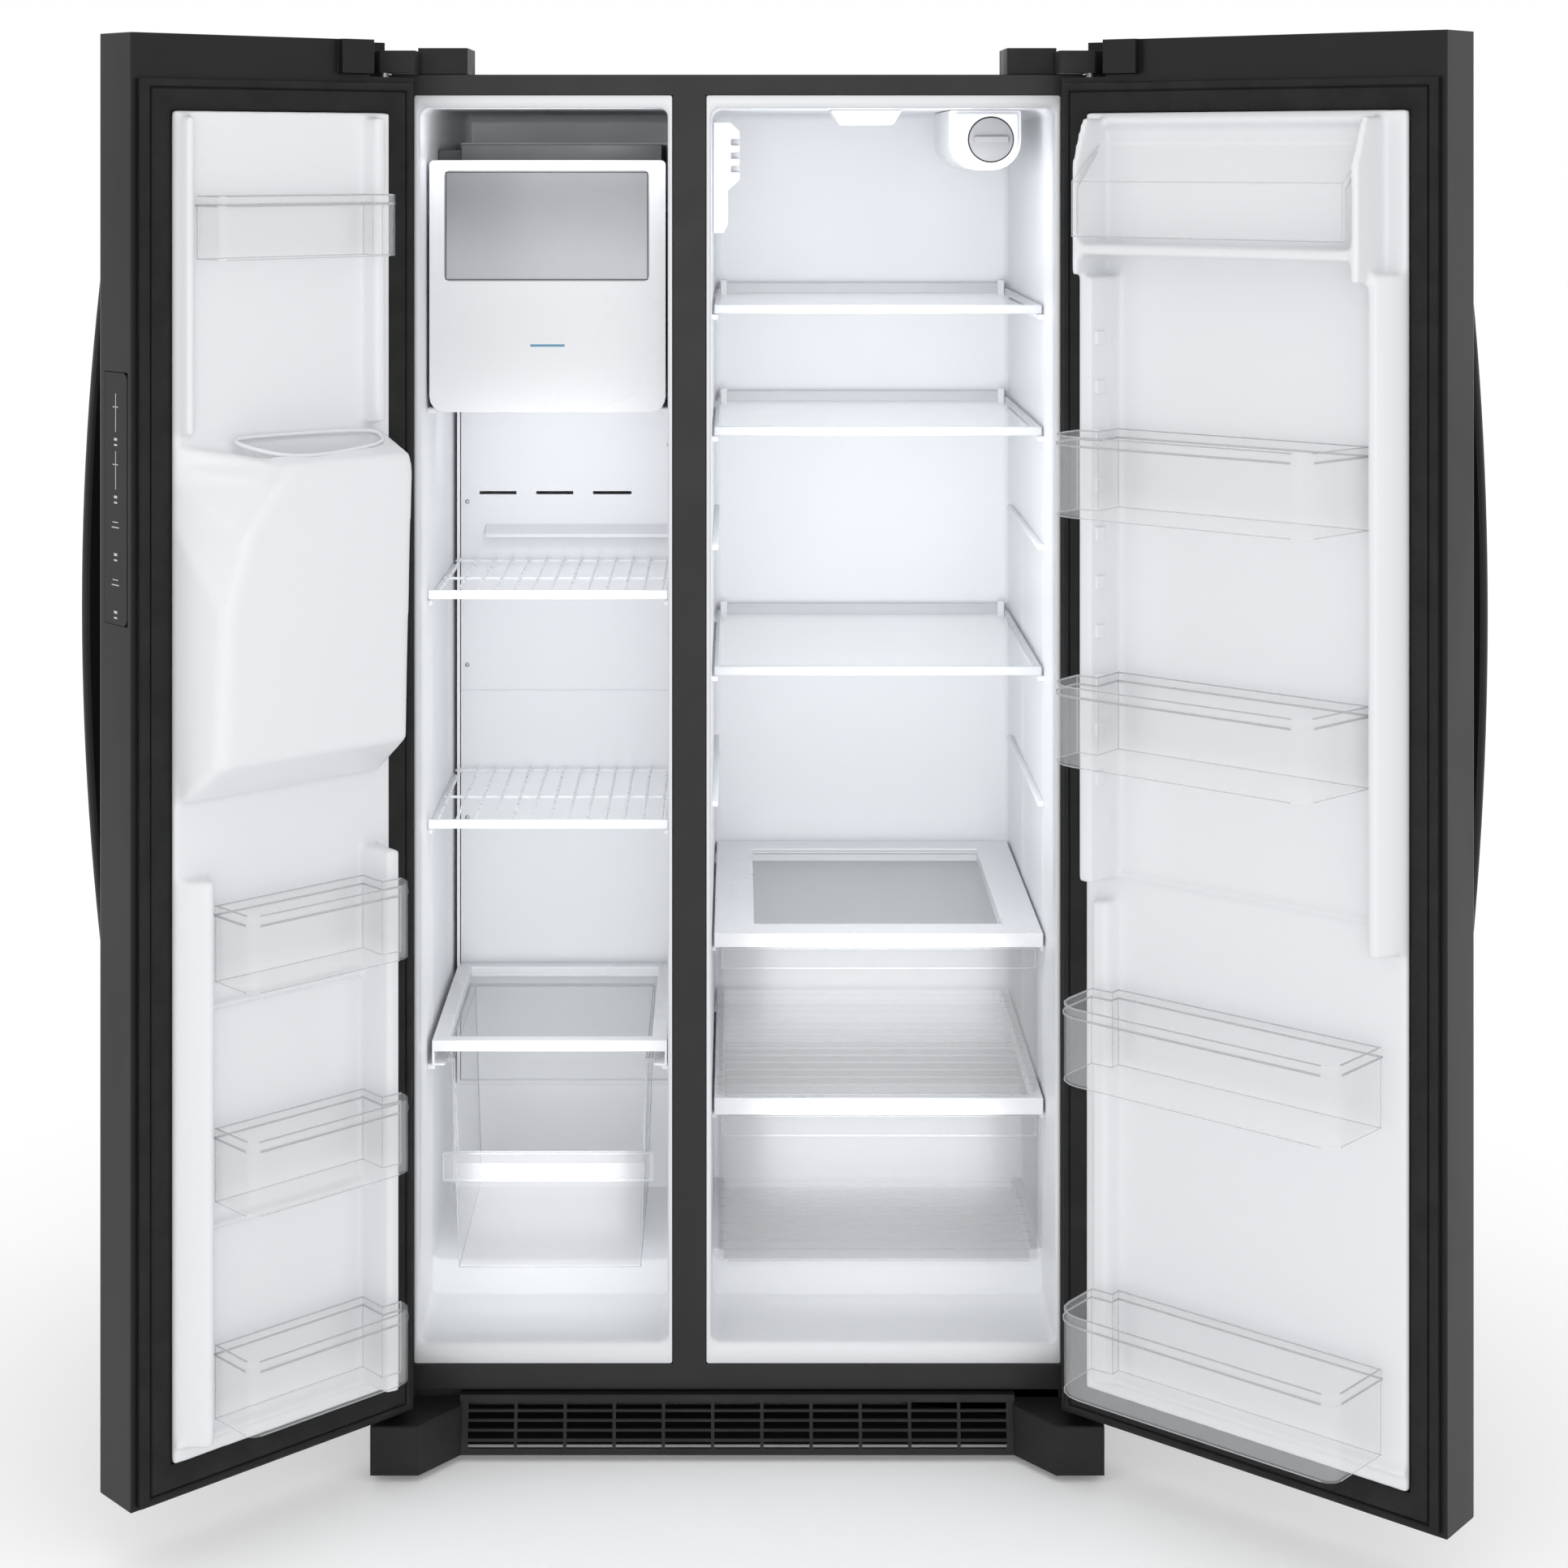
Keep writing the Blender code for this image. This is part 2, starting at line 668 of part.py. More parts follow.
def top_hinge(side):
    """A steel plate on the cabinet's top, with the pin that the door turns on."""
    plan = [(424, -50), (430, -57), (442, -57), (447, -51), (447, -42)]
    plan += [(430, -23), (430, 100), (399, 100), (399, -10)]
    plate = prism(mirrored(plan, side), "Z", *BRACKET_LEVELS)
    pin = cylinder("Z", (side * HINGE_X, HINGE_Y), PIN_RADIUS, 1697, 1727, 16)
    return union(plate, pin)


def hinge_cover(side):
    """The cap over the top hinge: a rounded nose over the pin and a block behind the door's wedge."""
    arm = [(396, -61), (441, -61), (452, -52), (452, -42), (434, -22), (434, 108), (396, 108)]
    arm = rounded(arm, [3, 6, 5, 5, 0, 3, 0], 2)
    block = rounded(rectangle((338, 400), (5, 110)), [4, 0, 0, 4], 2)
    bottom = BRACKET_LEVELS[0]
    cover = prism(mirrored(arm, side), "Z", bottom, 1751.5)
    union(cover, prism(mirrored(block, side), "Z", bottom, 1757))
    hollows = [
        prism(mirrored(offset(arm, -2.2), side), "Z", bottom - 1, 1749),
        prism(mirrored(rectangle((341, 399), (8, 107)), side), "Z", bottom - 1, 1754),
    ]
    return cut(cover, *hollows)


def bottom_hinge(side):
    """A bracket below the door with its pin and a washer."""
    plan = rounded([(402, -57), (445, -57), (445, 7.4), (402, 7.4)], [10, 8, 0, 0], 3)
    arm = prism(mirrored(plan, side), "Z", 51, 57)
    flange = box((side * 402, side * 445), (3, 7.4), (50.5, 77))
    axis = (side * HINGE_X, HINGE_Y)
    washer = cylinder("Z", axis, 9.4, 56, 60, 24)
    pin = cylinder("Z", axis, PIN_RADIUS, 55, 96, 16)
    return union(arm, flange, washer, pin)


# Doors


class Door:
    """Maps a door's own plan, (a, b), to its frame on the hinge axis. Side is -1 for the left door."""

    def __init__(self, side, width):
        self.side = side
        self.width = width

    def x(self, a):
        return self.side * (PIN_FROM_EDGE - a)

    def y(self, b):
        return b - PIN_FROM_FACE

    def plan(self, outline):
        return [(self.x(a), self.y(b)) for a, b in outline]

    def upright(self, outline, low, high):
        """A prism standing on a plan outline."""
        return prism(self.plan(outline), "Z", low, high)

    def block(self, a, b, z):
        return self.upright(rectangle(a, b), *z)

    def lengthwise(self, outline, a):
        """A prism along the door's width, with its outline in (b, z)."""
        ends = sorted((self.x(a[0]), self.x(a[1])))
        return prism([(self.y(b), z) for b, z in outline], "X", *ends)

    def ring(self, outline, z):
        return [(x, y, z) for x, y in self.plan(outline)]


FREEZER_DOOR = Door(-1, FREEZER_DOOR_WIDTH)
FRIDGE_DOOR = Door(1, FRIDGE_DOOR_WIDTH)
RECESS = (105.0, 295.0)
RECESS_HEIGHTS = (964.0, 1264.0)
RECESS_DEPTH = 60.0


def chute(door):
    """The way that ice falls: from the funnel's throat down into the dispenser recess."""
    outline = [(102, 1244), (134, 1244), (134, 1228), (50, 1187), (50, 1237)]
    return door.lengthwise(outline, (156, 234))


def funnel(door):
    """The bowl in the top of the inner door's swelling, narrowing down to the chute."""
    rim = [(276, 99), (262, 90), (84, 94), (72, 106), (84, 130), (190, 144), (232, 137), (262, 117)]
    throat = [(238, 107), (234, 100), (156, 100), (152, 106), (156, 128), (190, 136), (222, 132)]
    throat.append((234, 119))
    rim = rounded(rim, 5, 2)
    throat = rounded(throat, 2, 2)
    return loft([door.ring(throat, 1238), door.ring(rim, 1278), door.ring(rim, 1312)])


def door_shell(door):
    """The painted steel skin and the foam in it, with a notch and holes for the hinges."""
    corners = rectangle((0, door.width), (0, DOOR_THICKNESS))
    shell = door.upright(rounded(corners, [7, 7, 1.5, 1.5], 3), DOOR_BOTTOM, DOOR_TOP)
    wedge = [(60, 1719), (84, 1722), (84, DOOR_TOP), (60, DOOR_TOP)]
    notch_b = (NOTCH_DEPTH, DOOR_THICKNESS + 1)
    notch = door.block((-1, NOTCH_WIDTH), notch_b, (NOTCH_FLOOR, DOOR_TOP + 1))
    bore = PIN_RADIUS + 0.7
    holes = [cylinder("Z", (0, 0), bore, *ends, 16) for ends in ((1694, 1720), (78, 98))]
    return cut(union(shell, door.lengthwise(wedge, (66.5, 112.5))), notch, *holes)


def freezer_door_shell():
    door = FREEZER_DOOR
    recess = door.block(RECESS, (-1, RECESS_DEPTH), RECESS_HEIGHTS)
    pocket = door.block((door.width - 2.5, door.width + 1), (14.2, 65.9), (1085, 1374.5))
    return cut(door_shell(door), recess, pocket, chute(door))


def gasket(door, outer, inner):
    """A closed ring; its hinged edge is bevelled, so that it clears the face frame as the door swings."""
    ring = door.block(outer, GASKET, GASKET_HEIGHTS[0])
    window = door.block(inner, (GASKET[0] - 1, GASKET[1] + 1), GASKET_HEIGHTS[1])
    edge, lip = outer[0] - GAP, GASKET[1]
    bevel = [(edge, lip - HINGED_BEVEL[1]), (outer[0] + HINGED_BEVEL[0], lip)]
    bevel += [(outer[0] + HINGED_BEVEL[0], lip + 1), (edge, lip + 1)]
    return cut(ring, window, door.upright(bevel, DOOR_BOTTOM, DOOR_TOP))


def handle(door):
    """A bow that springs from the door's face at both ends."""
    middle = door.width - HANDLE_FROM_FREE_EDGE
    count = 24
    rings = []
    for index in range(count + 1):
        along = 2 * index / count - 1
        out = -7.5 - (HANDLE_REACH - 14) * (1 - along * along)
        section = rectangle((middle - 13, middle + 13), (out - 7, out + 7))
        section = rounded(section, 5, 2)
        rings.append(door.ring(section, HANDLE_MIDDLE + along * HANDLE_HALF_LENGTH))
    return loft(rings)


def inner_plate(door, a):
    return door.block(a, INNER_PLATE, PLATE_HEIGHTS)


def dike(door, foot, crest, height, z):
    """An upright wall of the inner door, with sloping sides between its foot and its crest."""
    base = INNER_PLATE[1] - 1
    outline = [(foot[0], base), (crest[0], height), (crest[1], height), (foot[1], base)]
    return door.upright(outline, *z)


def dispenser_bulge(door):
    """The swelling that houses the ice chute: its free side leans back and recedes towards the top."""
    sections = (
        (880, 341, 96),
        (926, 328, 152),
        (1105, 325, 158),
        (1195, 300, 162),
        (1246, 262, 165),
        (1266, 245, 160),
        (1290, 240, 104),
    )
    rings = []
    for z, front, reach in sections:
        outline = [(64, 83), (64, reach - 8), (69, reach), (front - 16, reach), (front - 5, reach - 4)]
        outline += [(front, reach - 12), (344, 83)]
        rings.append(door.ring(outline, z))
    return loft(rings)


def freezer_door_liner():
    door = FREEZER_DOOR
    plate = inner_plate(door, (44.5, 344.5))
    raised = [
        dike(door, (64, 88), (64, 80), 132, (DIKE_FOOT, 790)),
        dike(door, (302, 344), (306, 314), 110, (DIKE_FOOT, 790)),
        dike(door, (64, 86), (64, 78), 106, (1300, DIKE_TOP)),
        dike(door, (322, 342), (327, 335), 100, (1300, DIKE_TOP)),
        door.block((80, 306), (83, 93), (636, 642)),
        door.block((80, 306), (83, 93), (382, 388)),
        door.block((64, 344), (83, 90), (DIKE_FOOT, DIKE_FOOT + 6)),
    ]
    return cut(union(plate, dispenser_bulge(door), *raised), chute(door), funnel(door))


def fridge_door_liner():
    door = FRIDGE_DOOR
    plate = inner_plate(door, (41.5, 466.5))
    wall = [(83, 1476), (151, 1480), (151, 1612), (127, DIKE_TOP), (83, DIKE_TOP)]
    raised = [
        dike(door, (64, 92), (64, 82), 103, (DIKE_FOOT, 724)),
        dike(door, (64, 92), (64, 82), 135, (752, 1478)),
        dike(door, (430, 466), (436, 446), 120, (724, 1490)),
        door.lengthwise(wall, (64, 72)),
        door.lengthwise(wall, (431, 439)),
        door.lengthwise([(83, 1504), (149, 1504), (149, 1517), (83, 1517)], (66, 437)),
        door.lengthwise([(83, 754), (92, 754), (86, 760), (83, 760)], (90, 432)),
        door.lengthwise([(83, 1656), (92, 1660), (92, DIKE_TOP), (83, DIKE_TOP)], (66, 437)),
        door.block((66, 466), (83, 90), (DIKE_FOOT, DIKE_FOOT + 6)),
    ]
    pegs = [door.block((80, 90), (97, 108), (z, z + 10)) for z in range(818, 1410, 117)]
    return union(plate, *raised, *pegs)


def hooked_bin(door, a, b, hook, z, corner):
    """A clear door bin whose back fits between the dikes and whose front is wider."""
    outline = [(hook[0], b[0]), (hook[1], b[0]), (a[1], b[1]), (a[0], b[1])]
    outline += [(a[0], hook[2] + 2), (hook[0], hook[2])]
    outline = rounded(outline, [0, 0, corner / 2, corner, 0, 0], 4)
    bin_body = tray(door.plan(outline), z[0], z[1], 2.2)
    rim = door.upright(offset(outline, 1.2), z[1] - 12, z[1] - 10)
    inside = door.upright(offset(outline, -1.0), z[1] - 13, z[1] - 9)
    return union(bin_body, cut(rim, inside))


FREEZER_DOOR_BINS = (
    ((76, 324), (92, 150), (88, 320, 112), (1503, 1576), 14),
    ((67, 296), (96, 170), (92, 298, 137), (669, 757), 24),
    ((67, 296), (96, 170), (92, 298, 137), (415, 500), 24),
    ((67, 296), (96, 170), (92, 298, 137), (165, 250), 24),
)
FRIDGE_DOOR_BINS = (
    ((67, 409), (94, 215), (95, 427, 140), (1199, 1294), 40),
    ((67, 409), (94, 215), (95, 427, 140), (908, 1001), 40),
    ((67, 434), (94, 195), (95, 440, 108), (528, 619), 34),
    ((67, 434), (94, 195), (95, 440, 108), (160, 257), 34),
)


LID_AXIS = (100.0, 1636.0)


def dairy_lid():
    """A clear lid bent to close the dairy compartment, turning on the barrel at its top."""
    door = FRIDGE_DOOR
    outer = [(99, 1638.5), (165, 1592), (165, 1526), (162.5, 1526), (162.5, 1590), (98, 1635)]
    ends = [(104, 1632), (164, 1590), (164, 1528), (153, 1528), (153, 1585)]
    barrel = circle(LID_AXIS, 4.0, 12)
    span = (74, 429)
    sheet = door.lengthwise(outer, span)
    cheeks = [door.lengthwise(ends, a) for a in ((74, 76.5), (426.5, 429))]
    return union(sheet, door.lengthwise(barrel, span), *cheeks)


def control_panel():
    door = FREEZER_DOOR
    corners = rectangle((14.7, 65.4), (1085.5, 1374))
    outline = rounded(corners, [2, 8, 8, 2], 3)
    return door.lengthwise(outline, (door.width - 2, door.width + 0.4))


def dispenser_housing():
    """The moulded lining of the dispenser recess, open to the front and to the chute."""
    door = FREEZER_DOOR
    a = (RECESS[0] + GAP, RECESS[1] - GAP)
    z = (RECESS_HEIGHTS[0] + GAP, RECESS_HEIGHTS[1] - GAP)
    shell = door.block(a, (0.5, RECESS_DEPTH - GAP), z)
    hollow = door.block((a[0] + 3, a[1] - 3), (-1, RECESS_DEPTH - 3.5), (z[0] + 6, z[1] - 3))
    return cut(shell, hollow, chute(door))


PADDLE_AXIS = (22.0, 1240.0)


def dispenser_paddle():
    door = FREEZER_DOOR
    barrel = door.lengthwise(circle(PADDLE_AXIS, 4.0, 12), (RECESS[0] + 4, RECESS[1] - 4))
    blade = [(20.5, 1242), (23.5, 1242), (29, 1140), (26, 1140)]
    return union(barrel, door.lengthwise(blade, (155, 245)))


# Assembly


def clear_scene():
    for obj in list(bpy.data.objects):
        bpy.data.objects.remove(obj)


def add_cabinet(root, stuff):
    node(cabinet_shell(), "cabinet_shell", stuff["black_paint"], root)
    node(face_frame(), "face_frame", stuff["frame_paint"], root)
    node(freezer_liner(), "freezer_liner", stuff["white_liner"], root)
    node(fridge_liner(), "fridge_liner", stuff["white_liner"], root)
    node(base_pan(), "base_pan", stuff["galvanised_steel"], root)
    node(rear_panel(), "rear_panel", stuff["galvanised_steel"], root)
    node(toe_grille(), "toe_grille", stuff["black_plastic"], root)
    node(compressor(), "compressor", stuff["compressor_paint"], root)
    node(condenser_coil(), "condenser_coil", stuff["compressor_paint"], root)
    node(condenser_fan_motor(), "condenser_fan_motor", stuff["grey_plastic"], root)
    node(condenser_fan(), "condenser_fan", stuff["black_plastic"], root, (60, *FAN_AXIS))
    for name, side in (("left", -1), ("right", 1)):
        node(top_hinge(side), "top_hinge_" + name, stuff["galvanised_steel"], root)
        node(hinge_cover(side), "hinge_cover_" + name, stuff["black_plastic"], root)
        node(bottom_hinge(side), "bottom_hinge_" + name, stuff["galvanised_steel"], root)
        node(levelling_leg(side), "levelling_leg_" + name, stuff["galvanised_steel"], root)
        node(roller(side), "roller_" + name, stuff["roller_nylon"], root, (side * 399.5, 640, 15.5))


def add_freezer(root, stuff):
    node(evaporator_cover(), "evaporator_cover", stuff["white_liner"], root)
    node(evaporator_coil(), "evaporator_coil", stuff["coil_tube"], root)
    node(ice_maker(), "ice_maker", stuff["grey_plastic"], root)
    node(ice_bin(), "ice_bin", stuff["white_plastic"], root, (-243.5, 94, 1454))
    for index, top in enumerate(WIRE_SHELF_TOPS, 1):
        node(wire_shelf(top), f"wire_shelf_{index}", stuff["white_wire"], root)
    node(basket_cover(), "basket_cover", stuff["white_plastic"], root)
    node(freezer_basket(), "freezer_basket", stuff["clear_plastic"], root, (-241, 96, 330))


def add_fridge(root, stuff):
    for index, top in enumerate(GLASS_SHELF_TOPS, 1):
        node(glass_shelf(top), f"glass_shelf_{index}", stuff["shelf_glass"], root)
    node(crisper_cover(), "crisper_cover", stuff["white_plastic"], root)
    node(crisper_mid_frame(), "crisper_mid_frame", stuff["white_plastic"], root)
    node(crisper(UPPER_CRISPER, 590), "crisper_upper", stuff["clear_plastic"], root, (183, 118, 500))
    node(crisper(LOWER_CRISPER, 420), "crisper_lower", stuff["clear_plastic"], root, (183, 118, 285))
    node(ceiling_lamp(), "ceiling_lamp", stuff["white_plastic"], root)
    node(air_diffuser(), "air_diffuser", stuff["white_plastic"], root)
    node(filter_housing(), "filter_housing", stuff["white_plastic"], root)
    pivot = (FILTER_AXIS[0], 136, FILTER_AXIS[1])
    node(filter_cartridge(), "filter_cartridge", stuff["grey_plastic"], root, pivot)


def add_door(door, name, leaf, stuff, shell, inner, gasket_widths, bins):
    node(shell, name + "_shell", stuff["black_paint"], leaf)
    node(inner, name + "_liner", stuff["white_liner"], leaf)
    node(gasket(door, *gasket_widths), name + "_gasket", stuff["gasket_rubber"], leaf)
    node(handle(door), name + "_handle", stuff["black_paint"], leaf)
    for index, (a, b, hook, z, corner) in enumerate(bins, 1):
        piece = hooked_bin(door, a, b, hook, z, corner)
        node(piece, f"{name}_bin_{index}", stuff["clear_plastic"], leaf)


def add_freezer_door(root, stuff):
    leaf = empty("freezer_door_hinge", (-HINGE_X, HINGE_Y, 0), -FREEZER_DOOR_OPEN, root)
    widths = ((8.5, 386.5), (44, 345))
    parts = (freezer_door_shell(), freezer_door_liner(), widths, FREEZER_DOOR_BINS)
    add_door(FREEZER_DOOR, "freezer_door", leaf, stuff, *parts)
    node(control_panel(), "control_panel", stuff["gloss_panel"], leaf)
    node(dispenser_housing(), "dispenser_housing", stuff["black_plastic"], leaf)
    middle = FREEZER_DOOR.x((RECESS[0] + RECESS[1]) / 2)
    pivot = (middle, FREEZER_DOOR.y(PADDLE_AXIS[0]), PADDLE_AXIS[1])
    node(dispenser_paddle(), "dispenser_paddle", stuff["black_plastic"], leaf, pivot)


def add_fridge_door(root, stuff):
    leaf = empty("fridge_door_hinge", (HINGE_X, HINGE_Y, 0), FRIDGE_DOOR_OPEN, root)
    widths = ((8.5, 501.5), (41, 467))
    parts = (door_shell(FRIDGE_DOOR), fridge_door_liner(), widths, FRIDGE_DOOR_BINS)
    add_door(FRIDGE_DOOR, "fridge_door", leaf, stuff, *parts)
    pivot = (FRIDGE_DOOR.x(251.5), FRIDGE_DOOR.y(LID_AXIS[0]), LID_AXIS[1])
    node(dairy_lid(), "dairy_lid", stuff["clear_plastic"], leaf, pivot)


def centre_on_floor(root):
    """Moves the root so that the world's origin is the middle of the whole footprint."""
    bpy.context.view_layer.update()
    points = [
        obj.matrix_world @ vertex.co
        for obj in bpy.data.objects
        if obj.type == "MESH"
        for vertex in obj.data.vertices
    ]
    for axis in (0, 1):
        values = [point[axis] for point in points]
        root.location[axis] = -(min(values) + max(values)) / 2
    root.location.z = -min(point.z for point in points)


def main():
    clear_scene()
    stuff = make_materials()
    root = empty("refrigerator")
    add_cabinet(root, stuff)
    add_freezer(root, stuff)
    add_fridge(root, stuff)
    add_freezer_door(root, stuff)
    add_fridge_door(root, stuff)
    centre_on_floor(root)


main()
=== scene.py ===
"""The looks of the side by side refrigerator: materials, fine surfaces, light and camera."""

import json
import math

import bmesh
import bpy
from mathutils import Matrix, Vector

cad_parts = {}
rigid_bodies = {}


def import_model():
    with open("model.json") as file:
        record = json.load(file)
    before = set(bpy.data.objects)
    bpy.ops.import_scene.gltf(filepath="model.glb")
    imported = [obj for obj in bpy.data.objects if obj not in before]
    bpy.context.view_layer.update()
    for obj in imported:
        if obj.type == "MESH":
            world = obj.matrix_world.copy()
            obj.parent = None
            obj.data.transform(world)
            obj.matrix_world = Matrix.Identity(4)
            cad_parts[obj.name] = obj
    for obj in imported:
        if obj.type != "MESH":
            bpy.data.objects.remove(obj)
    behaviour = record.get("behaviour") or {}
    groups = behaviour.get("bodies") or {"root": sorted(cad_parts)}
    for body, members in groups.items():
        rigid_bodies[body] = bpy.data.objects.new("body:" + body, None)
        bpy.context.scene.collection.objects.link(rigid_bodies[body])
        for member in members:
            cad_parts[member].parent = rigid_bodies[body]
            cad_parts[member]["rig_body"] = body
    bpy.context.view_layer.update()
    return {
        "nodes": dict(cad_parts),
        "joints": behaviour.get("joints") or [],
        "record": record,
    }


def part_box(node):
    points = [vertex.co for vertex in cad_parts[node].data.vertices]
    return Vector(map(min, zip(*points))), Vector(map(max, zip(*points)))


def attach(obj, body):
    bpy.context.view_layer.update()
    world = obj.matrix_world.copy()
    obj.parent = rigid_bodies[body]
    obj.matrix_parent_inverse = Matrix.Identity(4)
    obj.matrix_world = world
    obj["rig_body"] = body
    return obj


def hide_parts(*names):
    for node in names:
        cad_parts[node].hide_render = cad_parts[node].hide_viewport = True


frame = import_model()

NODES = frame["nodes"]
BODY_OF = {node: NODES[node]["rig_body"] for node in NODES}
SLOT_OF = {entry["node"]: entry["material_slot"] for entry in frame["record"]["subparts"]}
MM = 0.001

# The cabinet gives the script its own frame: its middle, its front plane and the floor.
SHELL_LOW, SHELL_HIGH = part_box("cabinet_shell")
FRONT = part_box("face_frame")[0][1]
MIDDLE = (SHELL_LOW[0] + SHELL_HIGH[0]) / 2

# Inside the liners, from the cabinet's front plane and from the floor.
LINER_FLOOR = 0.136
DRAWER_FLOOR = 0.177
MACHINE_ROOF = 0.316
LINER_BACK = FRONT + 0.612
AIR_COVER_FACE = FRONT + 0.440

SHARP_EDGE = math.radians(40)


# Materials


class Surface:
    """A Principled material with noise for its colour, roughness and bump."""

    def __init__(self, name, colour, roughness, metallic=0.0):
        self.material = bpy.data.materials.new(name)
        self.material.use_nodes = True
        self.tree = self.material.node_tree
        self.shader = self.tree.nodes["Principled BSDF"]
        self.shader.inputs["Base Color"].default_value = (*colour, 1)
        self.shader.inputs["Roughness"].default_value = roughness
        self.shader.inputs["Metallic"].default_value = metallic
        self.colour = colour
        self.place = self.add("ShaderNodeTexCoord").outputs["Object"]
        self.height = None

    def add(self, kind, **settings):
        node = self.tree.nodes.new(kind)
        for key, value in settings.items():
            setattr(node, key, value)
        return node

    def link(self, output, socket):
        self.tree.links.new(output, socket)

    def set(self, **values):
        for key, value in values.items():
            self.shader.inputs[key.replace("_", " ")].default_value = value
        return self

    def noise(self, scale, detail=3.0, stretch=(1, 1, 1)):
        spread = self.add("ShaderNodeMapping")
        spread.inputs["Scale"].default_value = stretch
        self.link(self.place, spread.inputs["Vector"])
        noise = self.add("ShaderNodeTexNoise")
        noise.inputs["Scale"].default_value = scale
        noise.inputs["Detail"].default_value = detail
        self.link(spread.outputs["Vector"], noise.inputs["Vector"])
        return noise.outputs["Fac"]

    def ramp(self, value, low, high, start=0.35, end=0.65):
        """The value spread from low to high between two of its levels."""
        spread = self.add("ShaderNodeMapRange", clamp=True)
        for name, number in (("From Min", start), ("From Max", end), ("To Min", low), ("To Max", high)):
            spread.inputs[name].default_value = number
        self.link(value, spread.inputs["Value"])
        return spread.outputs["Result"]

    def vary_roughness(self, scale, low, high, stretch=(1, 1, 1)):
        self.link(self.ramp(self.noise(scale, 4.0, stretch), low, high), self.shader.inputs["Roughness"])
        return self

    def vary_colour(self, scale, other, amount, stretch=(1, 1, 1), start=0.35, end=0.65):
        mix = self.add("ShaderNodeMix", data_type="RGBA")
        mix.inputs["A"].default_value = (*self.colour, 1)
        mix.inputs["B"].default_value = (*other, 1)
        self.link(self.ramp(self.noise(scale, 4.0, stretch), 0, amount, start, end), mix.inputs["Factor"])
        self.link(mix.outputs["Result"], self.shader.inputs["Base Color"])
        return self

    def bump(self, scale, distance, strength=0.3, detail=2.0, stretch=(1, 1, 1)):
        bump = self.add("ShaderNodeBump")
        bump.inputs["Strength"].default_value = strength
        bump.inputs["Distance"].default_value = distance
        self.link(self.noise(scale, detail, stretch), bump.inputs["Height"])
        if self.height:
            self.link(self.height, bump.inputs["Normal"])
        self.height = bump.outputs["Normal"]
        self.link(self.height, self.shader.inputs["Normal"])
        return self


def black_paint():
    """Satin baked enamel on steel: fine orange peel, faint smears, a little dust."""
    paint = Surface("black_paint", (0.0085, 0.0085, 0.0088), 0.38)
    paint.set(Specular_IOR_Level=0.26)
    paint.vary_colour(6, (0.012, 0.012, 0.0122), 0.5)
    paint.vary_roughness(9, 0.35, 0.43, (1, 1, 0.3))
    return paint.bump(900, 0.0002, 0.10).bump(3, 0.004, 0.03).material


def frame_paint():
    paint = Surface("frame_paint", (0.019, 0.019, 0.0193), 0.42)
    paint.set(Specular_IOR_Level=0.3)
    paint.vary_colour(8, (0.024, 0.024, 0.0243), 0.5)
    return paint.vary_roughness(12, 0.38, 0.48).bump(900, 0.0002, 0.12).material


def black_plastic():
    """Moulded plastic with a fine spark-eroded grain."""
    plastic = Surface("black_plastic", (0.0095, 0.0095, 0.0098), 0.45)
    plastic.set(Specular_IOR_Level=0.28)
    plastic.vary_colour(14, (0.015, 0.015, 0.0153), 0.6)
    return plastic.vary_roughness(20, 0.40, 0.55).bump(1800, 0.0003, 0.25).material


def gloss_panel():
    panel = Surface("gloss_panel", (0.007, 0.007, 0.0075), 0.20)
    panel.set(Specular_IOR_Level=0.2)
    return panel.vary_roughness(15, 0.18, 0.26).bump(6, 0.001, 0.03).material


def white_liner():
    """Thermoformed sheet: glossy, slightly wavy, a touch cool."""
    liner = Surface("white_liner", (0.775, 0.787, 0.803), 0.34)
    liner.vary_colour(3, (0.76, 0.775, 0.795), 0.6, start=0.2, end=0.8)
    liner.vary_roughness(5, 0.30, 0.40)
    return liner.bump(4, 0.003, 0.03).bump(700, 0.0002, 0.05).material


def white_plastic():
    plastic = Surface("white_plastic", (0.765, 0.775, 0.79), 0.27)
    plastic.vary_colour(5, (0.75, 0.76, 0.775), 0.6, start=0.2, end=0.8)
    return plastic.vary_roughness(3, 0.26, 0.30).bump(900, 0.0002, 0.05).material


def grey_plastic():
    plastic = Surface("grey_plastic", (0.26, 0.265, 0.275), 0.42)
    plastic.vary_colour(12, (0.31, 0.315, 0.325), 0.6)
    return plastic.vary_roughness(18, 0.38, 0.5).bump(1500, 0.0002, 0.25).material


def charcoal_plastic():
    plastic = Surface("charcoal_plastic", (0.055, 0.057, 0.06), 0.4)
    plastic.vary_colour(12, (0.07, 0.072, 0.075), 0.6)
    return plastic.vary_roughness(18, 0.35, 0.45).bump(1500, 0.0002, 0.25).material


def clear_plastic():
    """Crystal styrene. Its body is a lone shader, so that it stays clear wherever it goes."""
    plastic = Surface("clear_plastic", (0.93, 0.94, 0.95), 0.07)
    return plastic.set(Alpha=0.11, IOR=1.5).material


def clear_edge():
    """The brighter, denser look of a clear moulding's rim, seen along its wall."""
    edge = Surface("clear_edge", (0.60, 0.62, 0.64), 0.15)
    return edge.set(Alpha=0.42, IOR=1.5).material


def shelf_trim():
    """The milky bar moulded round a shelf's pane."""
    trim = Surface("shelf_trim", (0.68, 0.70, 0.72), 0.2)
    return trim.set(Alpha=0.72, IOR=1.5).material


